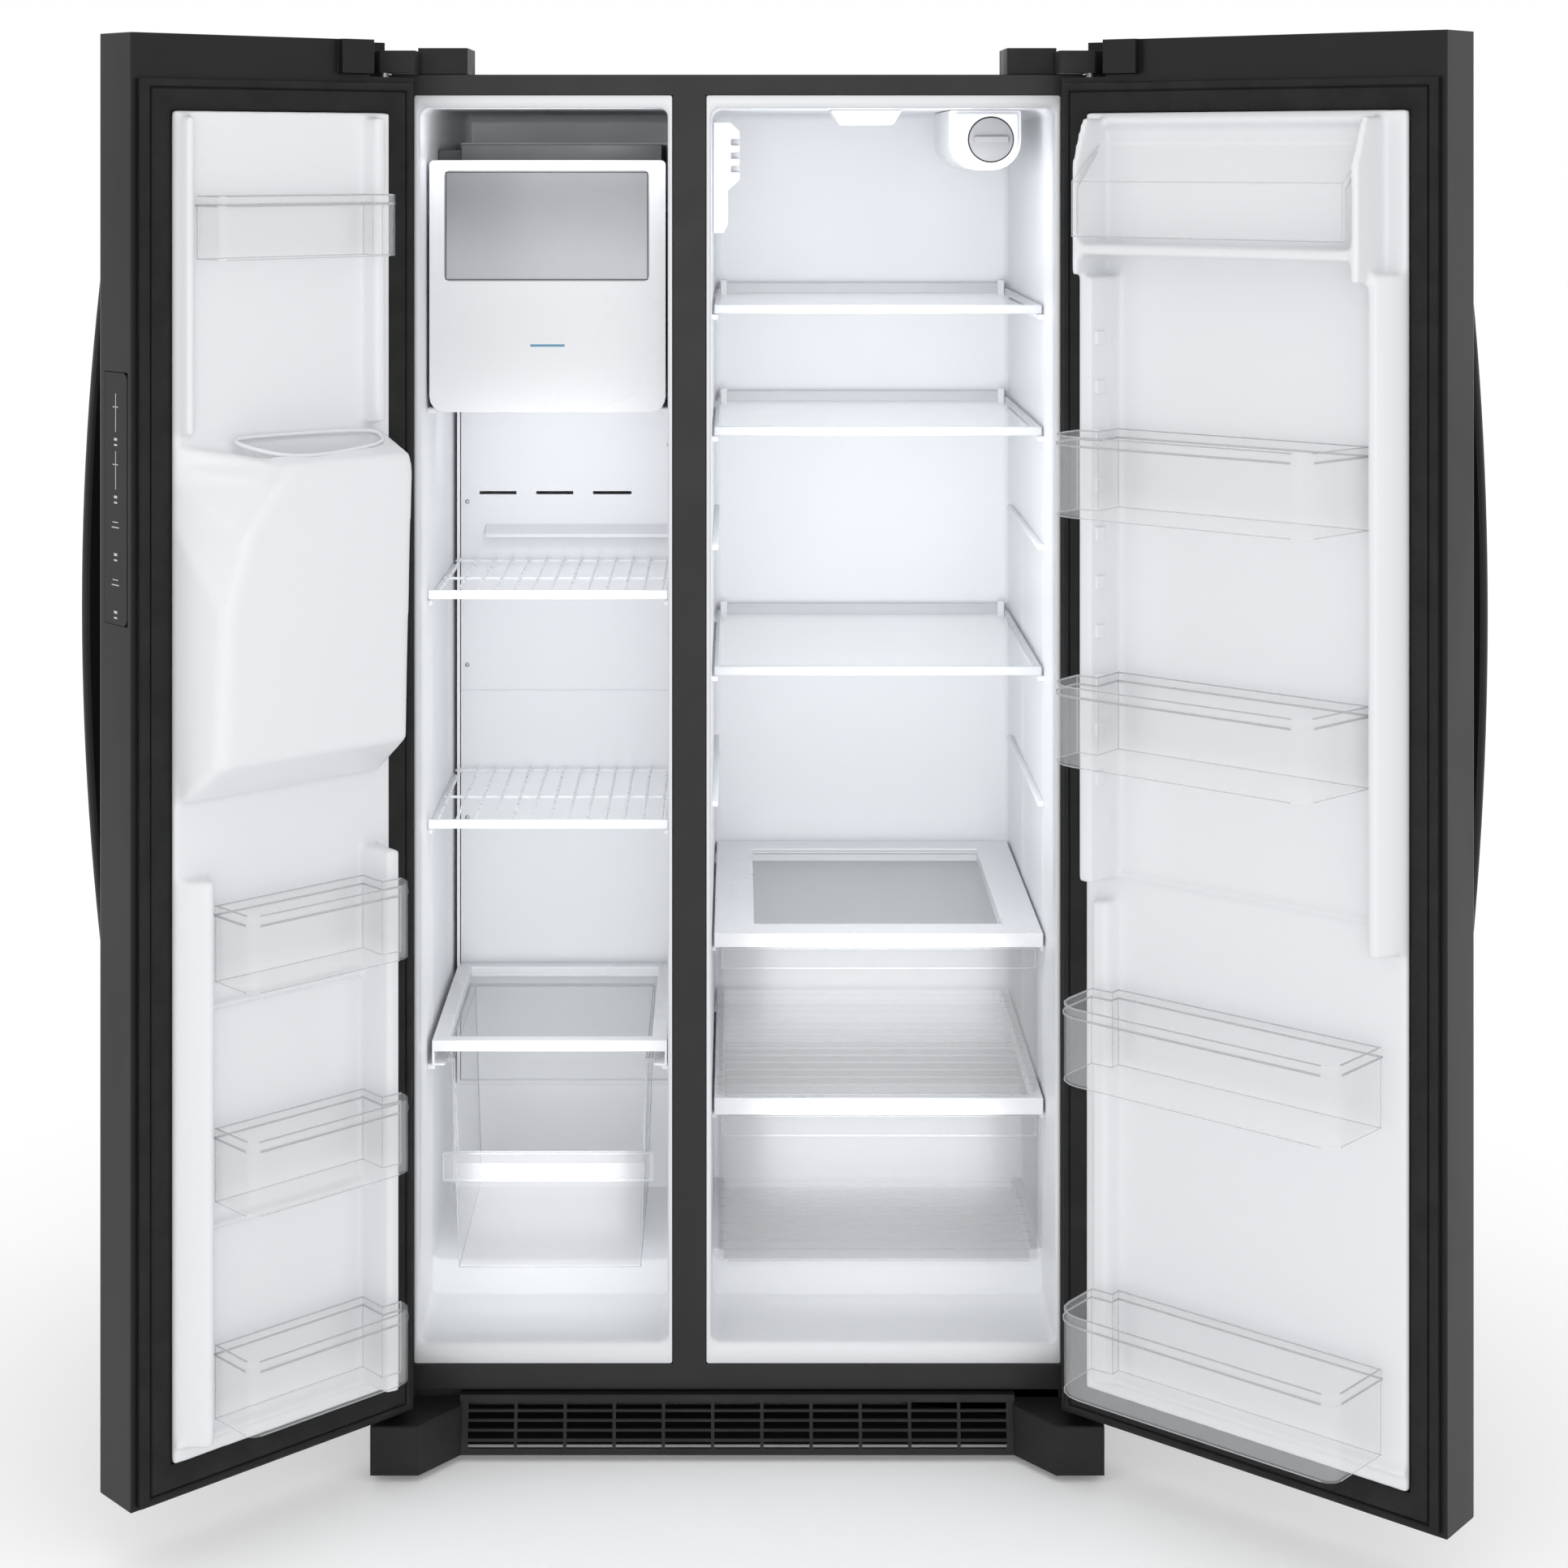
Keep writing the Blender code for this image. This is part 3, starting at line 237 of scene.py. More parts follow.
def smoked_pane():
    """A grey window with a soft sheen, painted lighter at its foot and darker towards its top: painted
    light and shade, not its own tint.
    """
    pane = Surface("smoked_pane", (0.22, 0.225, 0.235), 0.16)
    pane.set(Coat_Weight=0.4, Coat_Roughness=0.08)
    low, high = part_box("ice_bin")
    split = pane.add("ShaderNodeSeparateXYZ")
    pane.link(pane.place, split.inputs["Vector"])
    fade = pane.add("ShaderNodeMapRange", interpolation_type="SMOOTHSTEP")
    fade.inputs["From Min"].default_value = high.z - 0.155
    fade.inputs["From Max"].default_value = high.z - 0.02
    pane.link(split.outputs["Z"], fade.inputs["Value"])
    # Painted light and shade: pale at the pane's foot, dark towards its top.
    mix = pane.add("ShaderNodeMix", data_type="RGBA")
    mix.inputs["A"].default_value = (0.42, 0.43, 0.45, 1)
    mix.inputs["B"].default_value = (0.17, 0.175, 0.185, 1)
    pane.link(fade.outputs["Result"], mix.inputs["Factor"])
    pane.link(mix.outputs["Result"], pane.shader.inputs["Base Color"])
    return pane.vary_roughness(12, 0.14, 0.22).bump(8, 0.002, 0.05).material


def print_ink():
    """The pale ink of the plain bars on the control panel."""
    ink = Surface("print_ink", (0.50, 0.51, 0.52), 0.4)
    return ink.vary_roughness(80, 0.35, 0.45).material


def blue_ink():
    ink = Surface("blue_ink", (0.10, 0.28, 0.42), 0.4)
    return ink.vary_roughness(80, 0.35, 0.45).material


def shelf_glass():
    glass = Surface("shelf_glass", (0.84, 0.90, 0.91), 0.03)
    return glass.set(Alpha=0.13, IOR=1.5).material


def white_wire():
    wire = Surface("white_wire", (0.84, 0.855, 0.87), 0.30)
    wire.vary_colour(40, (0.78, 0.79, 0.81), 0.5)
    return wire.vary_roughness(60, 0.25, 0.38).bump(300, 0.0003, 0.2).material


def gasket_rubber():
    rubber = Surface("gasket_rubber", (0.009, 0.009, 0.0092), 0.55)
    rubber.set(Specular_IOR_Level=0.25)
    rubber.vary_colour(25, (0.014, 0.014, 0.0143), 0.6)
    return rubber.vary_roughness(30, 0.55, 0.72).bump(400, 0.0003, 0.25).material


def galvanised_steel():
    """Zinc coated sheet with soft spangle."""
    steel = Surface("galvanised_steel", (0.52, 0.53, 0.54), 0.38, 1.0)
    steel.vary_colour(35, (0.40, 0.41, 0.43), 0.8)
    return steel.vary_roughness(45, 0.28, 0.52).bump(250, 0.0002, 0.2).material


def compressor_paint():
    paint = Surface("compressor_paint", (0.012, 0.012, 0.013), 0.28)
    paint.vary_colour(18, (0.05, 0.045, 0.04), 0.35, start=0.5, end=0.75)
    return paint.vary_roughness(15, 0.22, 0.40).bump(200, 0.0005, 0.2).material


def coil_tube():
    tube = Surface("coil_tube", (0.60, 0.61, 0.62), 0.35, 1.0)
    tube.vary_colour(50, (0.48, 0.49, 0.5), 0.6)
    return tube.vary_roughness(60, 0.28, 0.45).bump(400, 0.0002, 0.2).material


def roller_nylon():
    nylon = Surface("roller_nylon", (0.14, 0.14, 0.15), 0.5)
    nylon.vary_colour(60, (0.2, 0.19, 0.18), 0.5)
    return nylon.vary_roughness(50, 0.45, 0.6).bump(500, 0.0003, 0.25).material


def make_surfaces():
    """Every surface by its name. All but the last six are the record's own material slots."""
    makers = (
        black_paint, black_plastic, gloss_panel, white_liner, white_plastic, grey_plastic, clear_plastic,
        shelf_glass, white_wire, gasket_rubber, galvanised_steel, compressor_paint, coil_tube, roller_nylon,
        frame_paint, charcoal_plastic, clear_edge, shelf_trim, smoked_pane, print_ink, blue_ink,
    )
    return {maker.__name__: maker() for maker in makers}


SURFACES = make_surfaces()


# Pieces whose surface differs from their slot's: black painted steel for the bottom hinges, a charcoal
# moulding, and black on the base pan as painted shade seen through the toe grille.
FINISHES_AND_SHADE = {
    "base_pan": "compressor_paint", "bottom_hinge_left": "frame_paint", "bottom_hinge_right": "frame_paint",
    "ice_maker": "charcoal_plastic",
}


def finish_or_shade_of(node):
    return FINISHES_AND_SHADE.get(node, SLOT_OF[node])


def dress_cad():
    """Every CAD node takes the surface of its own slot, or its own finish, or for the base pan black as
    painted shade.
    """
    for entry in frame["record"]["subparts"]:
        obj = NODES[entry["node"]]
        obj.data.materials.clear()
        obj.data.materials.append(SURFACES[finish_or_shade_of(entry["node"])])


# Meshes


def skin(bm, rings, closed=False):
    """Faces between rings of equally many points; closed joins the last ring to the first."""
    loops = [[bm.verts.new(point) for point in ring] for ring in rings]
    pairs = list(zip(loops, loops[1:]))
    if closed:
        pairs.append((loops[-1], loops[0]))
    for lower, upper in pairs:
        for index in range(len(lower)):
            after = (index + 1) % len(lower)
            bm.faces.new((lower[index], lower[after], upper[after], upper[index]))
    return loops


def capped(bm, rings):
    """The skin between rings, closed with a face at each end."""
    loops = skin(bm, rings)
    bm.faces.new(loops[0])
    bm.faces.new(loops[-1])


def welded(node):
    """The CAD node's mesh with its split corners joined and its flat faces made whole."""
    bm = bmesh.new()
    bm.from_mesh(NODES[node].data)
    bmesh.ops.remove_doubles(bm, verts=bm.verts, dist=1e-6)
    bmesh.ops.dissolve_limit(bm, angle_limit=math.radians(0.6), verts=bm.verts, edges=bm.edges)
    return bm


def piece(name, bm, node, surface=None, smooth_angle=40.0, hides=True):
    """The finished bmesh as a visual piece that rides with a CAD node's body."""
    mesh = bpy.data.meshes.new(name)
    bmesh.ops.recalc_face_normals(bm, faces=bm.faces)
    bm.to_mesh(mesh)
    bm.free()
    mesh.shade_smooth()
    mesh.set_sharp_from_angle(angle=math.radians(smooth_angle))
    obj = bpy.data.objects.new(name, mesh)
    bpy.context.scene.collection.objects.link(obj)
    mesh.materials.append(SURFACES[surface or finish_or_shade_of(node)])
    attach(obj, BODY_OF[node])
    if hides:
        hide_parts(node)
    return obj


def softened(node, width):
    """The node again with its sharp edges rounded."""
    bevelled(piece(node + "_skin", welded(node), node), width)


def thermoformed(node):
    """The node again as if drawn from one soft sheet: every edge and hollow corner is rounded."""
    obj = piece(node + "_skin", welded(node), node, smooth_angle=180)
    remesh = obj.modifiers.new("remesh", "REMESH")
    remesh.mode = "VOXEL"
    remesh.voxel_size = 3.5 * MM
    remesh.use_smooth_shade = True
    smooth = obj.modifiers.new("smooth", "SMOOTH")
    smooth.factor = 0.5
    smooth.iterations = 8


def add_bead(bm, start, end, inwards, radius):
    """A slim square bar along a line, set in by its own radius."""
    along = (end - start).normalized()
    side = along.cross(inwards).normalized()
    up = side.cross(along)
    ends = []
    for point in (start, end):
        middle = point + inwards * radius
        ends.append([bm.verts.new(middle + (side * u + up * v) * radius)
                     for u, v in ((-1, -1), (1, -1), (1, 1), (-1, 1))])
    for index in range(4):
        after = (index + 1) % 4
        bm.faces.new((ends[0][index], ends[0][after], ends[1][after], ends[1][index]))
    bm.faces.new(ends[0])
    bm.faces.new(ends[1])


def well_inside(point, node, depth):
    """Whether a point lies deeper than this below every side of the node's box."""
    low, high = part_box(node)
    return all(low[axis] + depth < point[axis] < high[axis] - depth for axis in range(3))


def is_drawer_rib(point, node):
    """Whether a point of a crisper is on the ribs of its floor, or inside its walls."""
    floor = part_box(node)[0].z
    return well_inside(point, node, 4 * MM) or (point.z < floor + 6 * MM and point.y > FRONT + 140 * MM)


def edge_lines(node, radius=0.55, shortest=10.0, sharpest=50.0):
    """Beads along a clear moulding's sharp edges, where real ones catch and bend the light."""
    shape = welded(node)
    shape.normal_update()
    bm = bmesh.new()
    for edge in shape.edges:
        if len(edge.link_faces) != 2 or edge.calc_length() < shortest * MM:
            continue
        if edge.calc_face_angle_signed(0) < math.radians(sharpest):
            continue
        start, end = (vertex.co.copy() for vertex in edge.verts)
        if node.startswith("crisper") and is_drawer_rib((start + end) / 2, node):
            continue
        inwards = -(edge.link_faces[0].normal + edge.link_faces[1].normal).normalized()
        add_bead(bm, start, end, inwards, radius * MM)
    shape.free()
    return piece(node + "_edges", bm, node, "clear_edge", hides=False)


def block(x, y, z):
    """A plain box as a bmesh, from ranges in metres."""
    bm = bmesh.new()
    bmesh.ops.create_cube(bm, size=1)
    for vertex in bm.verts:
        for axis, (start, end) in enumerate((x, y, z)):
            vertex.co[axis] = start + (end - start) * (vertex.co[axis] + 0.5)
    return bm


def as_object(name, bm):
    """A passing object for a Boolean, made from a bmesh that is then freed."""
    mesh = bpy.data.meshes.new(name)
    bm.to_mesh(mesh)
    bm.free()
    obj = bpy.data.objects.new(name, mesh)
    bpy.context.scene.collection.objects.link(obj)
    return obj


def bored(node, hole):
    """The CAD node's mesh less a box, as a bmesh."""
    body = as_object(node + "_blank", welded(node))
    bmesh.ops.recalc_face_normals(hole, faces=hole.faces)
    cutter = as_object("cutter", hole)
    modifier = body.modifiers.new("cut", "BOOLEAN")
    modifier.operation = "DIFFERENCE"
    modifier.solver = "EXACT"
    modifier.object = cutter
    result = bmesh.new()
    result.from_object(body, bpy.context.evaluated_depsgraph_get())
    bpy.data.objects.remove(body)
    bpy.data.objects.remove(cutter)
    return result


def bevelled(obj, width):
    bevel = obj.modifiers.new("bevel", "BEVEL")
    bevel.width = width * MM
    bevel.segments = 2
    bevel.limit_method = "ANGLE"
    bevel.angle_limit = SHARP_EDGE
    obj.modifiers.new("normals", "WEIGHTED_NORMAL").keep_sharp = True


# Shelves with panes


def framed_pane(node, sides, width):
    """A moulded frame with a clear pane let into it, sides being its four borders in millimetres."""
    low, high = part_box(node)
    left, right, front, back = (side * MM for side in sides)
    x = (low.x + left, high.x - right)
    y = (low.y + front, high.y - back)
    frame_mesh = bored(node, block(x, y, (low.z - 10 * MM, high.z + 10 * MM)))
    bevelled(piece(node + "_frame", frame_mesh, node), width)
    top = high.z - 3 * MM
    lap = 0.5 * MM
    pane = block((x[0] - lap, x[1] + lap), (y[0] - lap, y[1] + lap), (top - 4 * MM, top))
    piece(node + "_pane", pane, node, "shelf_glass", hides=False).visible_shadow = False


def glass_shelf(node):
    """A clear pane with a milky bar in front, a slim raised bar behind and a strip down each side."""
    low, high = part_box(node)
    top = low.z + 11.5 * MM
    x, y = (low.x, high.x), (low.y, high.y)
    pane_z = (top - 6.5 * MM, top - 2.5 * MM)
    pane = block((x[0] + 3 * MM, x[1] - 3 * MM), (y[0] + 3 * MM, y[1] - 6 * MM), pane_z)
    piece(node + "_pane", pane, node, "shelf_glass").visible_shadow = False
    front = block(x, (y[0], y[0] + 12 * MM), (low.z, top))
    back_x = (x[0] + 2 * MM, x[1] - 2 * MM)
    back = block(back_x, (y[1] - 9 * MM, y[1] - 1 * MM), (top - 8 * MM, top + 8 * MM))
    strips = []
    for strip_x in ((x[0], x[0] + 5 * MM), (x[1] - 5 * MM, x[1])):
        strips.append(block(strip_x, (y[0] + 11 * MM, y[1] - 8 * MM), (low.z + 2 * MM, top)))
    for index, bar in enumerate([front, back, *strips]):
        bevelled(piece(f"{node}_bar_{index}", bar, node, "shelf_trim", hides=False), 1.5)
    for index, middle in enumerate((x[0] + 10 * MM, x[1] - 10 * MM)):
        post = block((middle - 5 * MM, middle + 5 * MM), (y[1] - 16 * MM, y[1] - 8 * MM), (low.z, high.z))
        bevelled(piece(f"{node}_post_{index}", post, node, "white_plastic", hides=False), 1.5)


# Ice bin, air cover and panel


def ice_bin_window():
    """The smoked pane in the ice bin's front, its thin trim, and a plain blue bar below it."""
    low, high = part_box("ice_bin")
    x, z = (low.x + 19 * MM, high.x - 21 * MM), (high.z - 155 * MM, high.z - 13 * MM)
    face = low.y
    pane_y = (face + 2 * MM, face + 5 * MM)
    pane = block((x[0] + 2 * MM, x[1] - 2 * MM), pane_y, (z[0] + 2 * MM, z[1] - 2 * MM))
    bevelled(piece("ice_window_pane", pane, "ice_bin", "smoked_pane", hides=False), 1.0)
    trim_y = (face + 0.3 * MM, face + 5 * MM)
    trim = 1.6 * MM
    strips = [
        block(x, trim_y, (z[1] - trim, z[1])),
        block(x, trim_y, (z[0], z[0] + trim)),
        block((x[0], x[0] + trim), trim_y, z),
        block((x[1] - trim, x[1]), trim_y, z),
    ]
    for index, strip in enumerate(strips):
        piece(f"ice_window_trim_{index}", strip, "ice_bin", "grey_plastic", hides=False)
    middle = (low.x + high.x) / 2
    mark_x = (middle - 22 * MM, middle + 22 * MM)
    mark = block(mark_x, (face - 0.1 * MM, face + 1 * MM), (z[0] - 84 * MM, z[0] - 81 * MM))
    piece("ice_bin_mark", mark, "ice_bin", "blue_ink", hides=False)


def screw(name, node, centre, radius=3.2):
    """A small pan-head screw on an upright face, its head towards the front."""
    rings = []
    for out, share in ((0, 1.0), (0.8, 1.0), (1.6, 0.75), (1.9, 0.45), (1.2, 0.4), (1.2, 0.1)):
        reach = share * radius
        turns = [math.tau * index / 16 for index in range(16)]
        offsets = [Vector((math.cos(turn) * reach, -out, math.sin(turn) * reach)) for turn in turns]
        rings.append([centre + offset * MM for offset in offsets])
    bm = bmesh.new()
    capped(bm, rings)
    piece(name, bm, node, "galvanised_steel", hides=False)


def air_cover_screws():
    """Three screws up the cover's left side and one at its top right."""
    low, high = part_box("evaporator_cover")
    places = [(low.x + 9 * MM, z) for z in (1.135, 0.905, 0.69)] + [(high.x - 6 * MM, 1.215)]
    for index, (x, z) in enumerate(places):
        screw(f"air_cover_screw_{index}", "evaporator_cover", Vector((x, AIR_COVER_FACE, z)))


def panel_marks(leaf):
    """Plain bars, ticks and dots on the control panel, in place of its words."""
    for group in range(4):
        top = 1350 - group * 66
        if group < 2:
            marks = [((40, 41.2), (top - 44, top))]
        else:
            marks = [((32, 48), (top - 22, top - 20.8))]
        marks.append(((34, 46), (top - 16, top - 15)))
        marks.append(((37, 44), (top - 54, top - 51)))
        marks.append(((37, 44), (top - 60, top - 58)))
        for index, (b, z) in enumerate(marks):
            corners = ((b[0], z[0]), (b[1], z[0]), (b[1], z[1]), (b[0], z[1]))
            bm = bmesh.new()
            capped(bm, [[leaf.at(leaf.width + out, *corner) for corner in corners] for out in (-0.5, 0.5)])
            piece(f"panel_mark_{group}_{index}", bm, "control_panel", "print_ink", hides=False)


def grille_corners():
    """The closed tops of the toe grille's corner covers."""
    plan = [(344, -26), (390, -80), (449, -80), (449, 2), (344, 2)]
    for name, side in (("grille_corner_left", -1), ("grille_corner_right", 1)):
        rings = []
        for height in (66, 68.5):
            rings.append([Vector((MIDDLE + side * x * MM, FRONT + y * MM, height * MM)) for x, y in plan])
        bm = bmesh.new()
        capped(bm, rings)
        bevelled(piece(name, bm, "toe_grille", hides=False), 1.0)


def air_cover_edges():
    """The foot of the freezer's back cover, and its flange by the left wall, up to the ice bin."""
    low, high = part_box("evaporator_cover")
    foot_y = (AIR_COVER_FACE - 5.5 * MM, AIR_COVER_FACE + 0.5 * MM)
    foot = block((low.x - 4 * MM, high.x), foot_y, (low.z - 7.5 * MM, low.z + 1.5 * MM))
    bevelled(piece("air_cover_foot", foot, "evaporator_cover", hides=False), 1.5)
    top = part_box("ice_bin")[0].z - 10 * MM
    flange = block((low.x - 3.5 * MM, low.x + 0.5 * MM), (low.y, low.y + 3 * MM), (low.z, top))
    piece("air_cover_flange", flange, "evaporator_cover", hides=False)


# Doors


class Leaf:
    """A door's frame in millimetres: a from its hinged edge, b from its outer face, z from the floor."""

    def __init__(self, name, side):
        joint = next(entry for entry in frame["joints"] if entry["name"] == name + "_hinge")
        pin = Vector(joint["pos_m"])
        closing = math.radians(joint["range_deg"][0]) * joint["axis"][2]
        turn = Matrix.Translation(pin) @ Matrix.Rotation(closing, 4, "Z") @ Matrix.Translation(-pin)
        shut = [turn @ vertex.co for vertex in NODES[name + "_shell"].data.vertices]
        across = [point.x for point in shut]
        self.name = name
        self.side = side
        self.edge = max(across) if side > 0 else min(across)
        self.face = min(point.y for point in shut)
        self.width = (max(across) - min(across)) / MM
        self.open = turn.inverted()

    def at(self, a, b, z):
        return self.open @ Vector((self.edge - self.side * a * MM, self.face + b * MM, z * MM))


LEAVES = {name: Leaf(name, side) for name, side in (("freezer_door", -1), ("fridge_door", 1))}


# The gasket's section: (share of its width from the outer edge, height from the door's outer face)
GASKET_SECTION = (
    (0.0, 74.3), (0.0, 81.0), (0.03, 82.2), (0.09, 83.4), (0.15, 84.2), (0.21, 84.2), (0.25, 83.2),
    (0.265, 80.2), (0.30, 80.2), (0.315, 82.6), (0.36, 83.7), (0.42, 83.9), (0.60, 83.0),
    (0.78, 81.2), (0.92, 79.0), (1.0, 77.0), (1.0, 74.3),
)


# Where the gaskets' outer and inner edges run: two lines on the low side, then two on the high side.
GASKET_ACROSS = {"freezer_door": (8.5, 44.0, 345.0, 386.5), "fridge_door": (8.5, 41.0, 467.0, 501.5)}
GASKET_UP = (83.0, 120.0, 1675.0, 1711.0)


def gasket_edges(lines, share):
    """The low and the high side of the ring that lies this share of the way inwards."""
    outer_low, inner_low, inner_high, outer_high = lines
    return outer_low + (inner_low - outer_low) * share, outer_high - (outer_high - inner_high) * share


def door_gasket(leaf):
    """A pleated ring: a bulb along its outer edge, a groove, and a broad web sloping to the liner."""
    rings = []
    for share, b in GASKET_SECTION:
        low_a, high_a = gasket_edges(GASKET_ACROSS[leaf.name], share)
        low_z, high_z = gasket_edges(GASKET_UP, share)
        corners = ((low_a, low_z), (high_a, low_z), (high_a, high_z), (low_a, high_z))
        rings.append([leaf.at(a, b, z) for a, z in corners])
    bm = bmesh.new()
    skin(bm, rings, closed=True)
    piece(leaf.name + "_gasket_skin", bm, leaf.name + "_gasket", smooth_angle=50)


FUNNEL_OUTLINE = ((276, 99), (262, 91), (84, 95), (73, 106), (84, 130), (190, 144), (232, 137), (262, 117))


def around(path, index):
    """The points before and after one of a closed path's points."""
    return path[index - 1], path[(index + 1) % len(path)]


def funnel_path(leaf):
    """The lip's middle line: the outline in quarters, evened out so that its corners turn softly."""
    path = []
    for index, (a, b) in enumerate(FUNNEL_OUTLINE):
        next_a, next_b = around(FUNNEL_OUTLINE, index)[1]
        for share in (0, 0.25, 0.5, 0.75):
            lip_a = a + (next_a - a) * share
            lip_b = b + (next_b - b) * share
            path.append(leaf.at(lip_a, lip_b, 1288.5 - (lip_b - 104) * 24 / 56))
    for _ in range(3):
        neighbours = [around(path, index) for index in range(len(path))]
        path = [(before + point * 2 + after) / 4 for point, (before, after) in zip(path, neighbours)]
    return path


def funnel_rim(leaf):
    """The rounded lip round the ice funnel in the freezer door's swelling."""
    radius = 2.6 * MM
    path = funnel_path(leaf)
    turns = [math.tau * corner / 8 for corner in range(8)]
    rings = []
    for index, point in enumerate(path):
        before, after = around(path, index)
        along = (after - before).normalized()
        side = along.cross(Vector((0, 0, 1))).normalized()
        up = side.cross(along)
        rings.append([point + (side * math.cos(turn) + up * math.sin(turn)) * radius for turn in turns])
    bm = bmesh.new()
    skin(bm, rings, closed=True)
    piece("ice_funnel_rim", bm, leaf.name + "_liner", smooth_angle=180, hides=False)


def bin_studs(leaf):
    """Small square studs up the hinged side's ridge, which let the bins hang at many heights."""
    plan = ((80, 113), (89.4, 113), (86.5, 128), (80, 128))
    for index in range(10):
        middle = 1404 - 58.6 * index
        bm = bmesh.new()
        capped(bm, [[leaf.at(a, b, z) for a, b in plan] for z in (middle - 8, middle + 8)])
        bevelled(piece(f"bin_stud_{index}", bm, leaf.name + "_liner", hides=False), 1.2)


# Cabinet liners


def rounded_ring(x, z, radius, y, steps=5):
    """Points round an upright rounded rectangle at one depth."""
    centres = (
        (x[1] - radius, z[1] - radius),
        (x[0] + radius, z[1] - radius),
        (x[0] + radius, z[0] + radius),
        (x[1] - radius, z[0] + radius),
    )
    points = []
    for quarter, (centre_x, centre_z) in enumerate(centres):
        for step in range(steps + 1):
            turn = math.radians(90 * (quarter + step / steps))
            across, up = radius * math.cos(turn), radius * math.sin(turn)
            points.append(Vector((centre_x + across, y, centre_z + up)))
    return points


# Where a liner's floor rises: (depth at the start, depth at the end, height below, height above)
FLOOR_STEPS = (
    (FRONT + 0.148, FRONT + 0.166, LINER_FLOOR, DRAWER_FLOOR),
    (FRONT + 0.421, FRONT + 0.433, DRAWER_FLOOR, MACHINE_ROOF),
)


def floor_height(y):
    height = LINER_FLOOR
    for start, end, low, high in FLOOR_STEPS:
        share = min(max((y - start) / (end - start), 0), 1)
        if share > 0:
            height = low + (high - low) * share * share * (3 - 2 * share)
    return height


def liner_depths():
    """Depths of a liner's rings behind the front plane, close together where its floor rises."""
    depths = [0.004, 0.012, 0.03, 0.08]
    depths += [0.148 + 0.003 * step for step in range(7)]
    depths += [0.25, 0.34]
    depths += [0.421 + 0.002 * step for step in range(7)]
    return depths + [0.50, 0.58]


def flange_rings(low, high, wall_x, ceiling):
    """Rings of the liner's flat front flange, from its outer rim to the mouth."""
    rings = [rounded_ring((low.x, high.x), (low.z, high.z), 3 * MM, FRONT + y * MM) for y in (4, 1.4)]
    edge = 0.4 * MM
    edge_x, edge_z = (low.x + edge, high.x - edge), (low.z + edge, high.z - edge)
    rings.append(rounded_ring(edge_x, edge_z, 3 * MM, FRONT + 1 * MM))
    mouth_x = (wall_x[0] - 2 * MM, wall_x[1] + 2 * MM)
    rings.append(rounded_ring(mouth_x, (LINER_FLOOR - 2 * MM, ceiling + 2 * MM), 10 * MM, FRONT + 1 * MM))
    return rings


def compartment(node, rests):
    """A drawn plastic liner: rounded in every corner, with its floor stepping up over the machinery."""
    low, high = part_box(node)
    rim = 5.5 * MM
    corner = 12 * MM
    wall_x = (low.x + rim, high.x - rim)
    ceiling = high.z - 15.5 * MM
    rings = flange_rings(low, high, wall_x, ceiling)
    for depth in liner_depths():
        y = FRONT + depth
        rings.append(rounded_ring(wall_x, (floor_height(y), ceiling), corner, y))
    for step in range(1, 6):
        turn = math.radians(90 * step / 5)
        inset = corner * (1 - math.cos(turn))
        y = LINER_BACK - corner * (1 - math.sin(turn))
        x = (wall_x[0] + inset, wall_x[1] - inset)
        z = (floor_height(y) + inset, ceiling - inset)
        rings.append(rounded_ring(x, z, max(corner - inset, 1 * MM), y))
    bm = bmesh.new()
    bm.faces.new(skin(bm, rings)[-1])
    for height, depth_range, reach, thickness in rests:
        y = [FRONT + depth * MM for depth in depth_range]
        left = (wall_x[0] - 1 * MM, wall_x[0] + reach * MM)
        right = (wall_x[1] - reach * MM, wall_x[1] + 1 * MM)
        for x in (left, right):
            add_rail(bm, x, y, height, thickness * MM)
    piece(node + "_skin", bm, node, smooth_angle=50)


def add_rail(bm, x, y, top, thickness):
    """A shelf rest on the wall, rounded at its ends."""
    radius = min(2.5 * MM, thickness / 2.1)
    start = ((0, radius), (radius * 0.3, radius * 0.3), (radius, 0))
    sections = [(y[0] + depth, inset) for depth, inset in start]
    sections += [(y[1] - depth, inset) for depth, inset in reversed(start)]
    rings = []
    for depth, inset in sections:
        across = (x[0] + inset, x[1] - inset)
        up = (top - thickness + inset, top - inset)
        rings.append(rounded_ring(across, up, max(radius - inset, 0.2 * MM), depth, 3))
    capped(bm, rings)


def under(node, depths, reach, thickness=8):
    """A pair of rests just under a shelf or drawer."""
    return (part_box(node)[0].z - 0.5 * MM, depths, reach, thickness)


def build_liners():
    wires = [under(f"wire_shelf_{index}", (100, 420), 7) for index in (1, 2)]
    cover = under("basket_cover", (100, 420), 10)
    bucket = (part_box("ice_bin")[0].z + 5 * MM, (100, 430), 12, 8)
    compartment("freezer_liner", wires + [cover, bucket])
    glass = [under(f"glass_shelf_{index}", (140, 560), 8) for index in (1, 2, 3)]
    spare = [(height, (140, 560), 8, 8) for height in (1.116, 0.782)]
    frames = [under(name, (130, 560), 6) for name in ("crisper_cover", "crisper_mid_frame")]
    drawer = under("crisper_lower", (165, 420), 16, 16)
    compartment("fridge_liner", glass + spare + frames + [drawer])


# Light, floor and camera


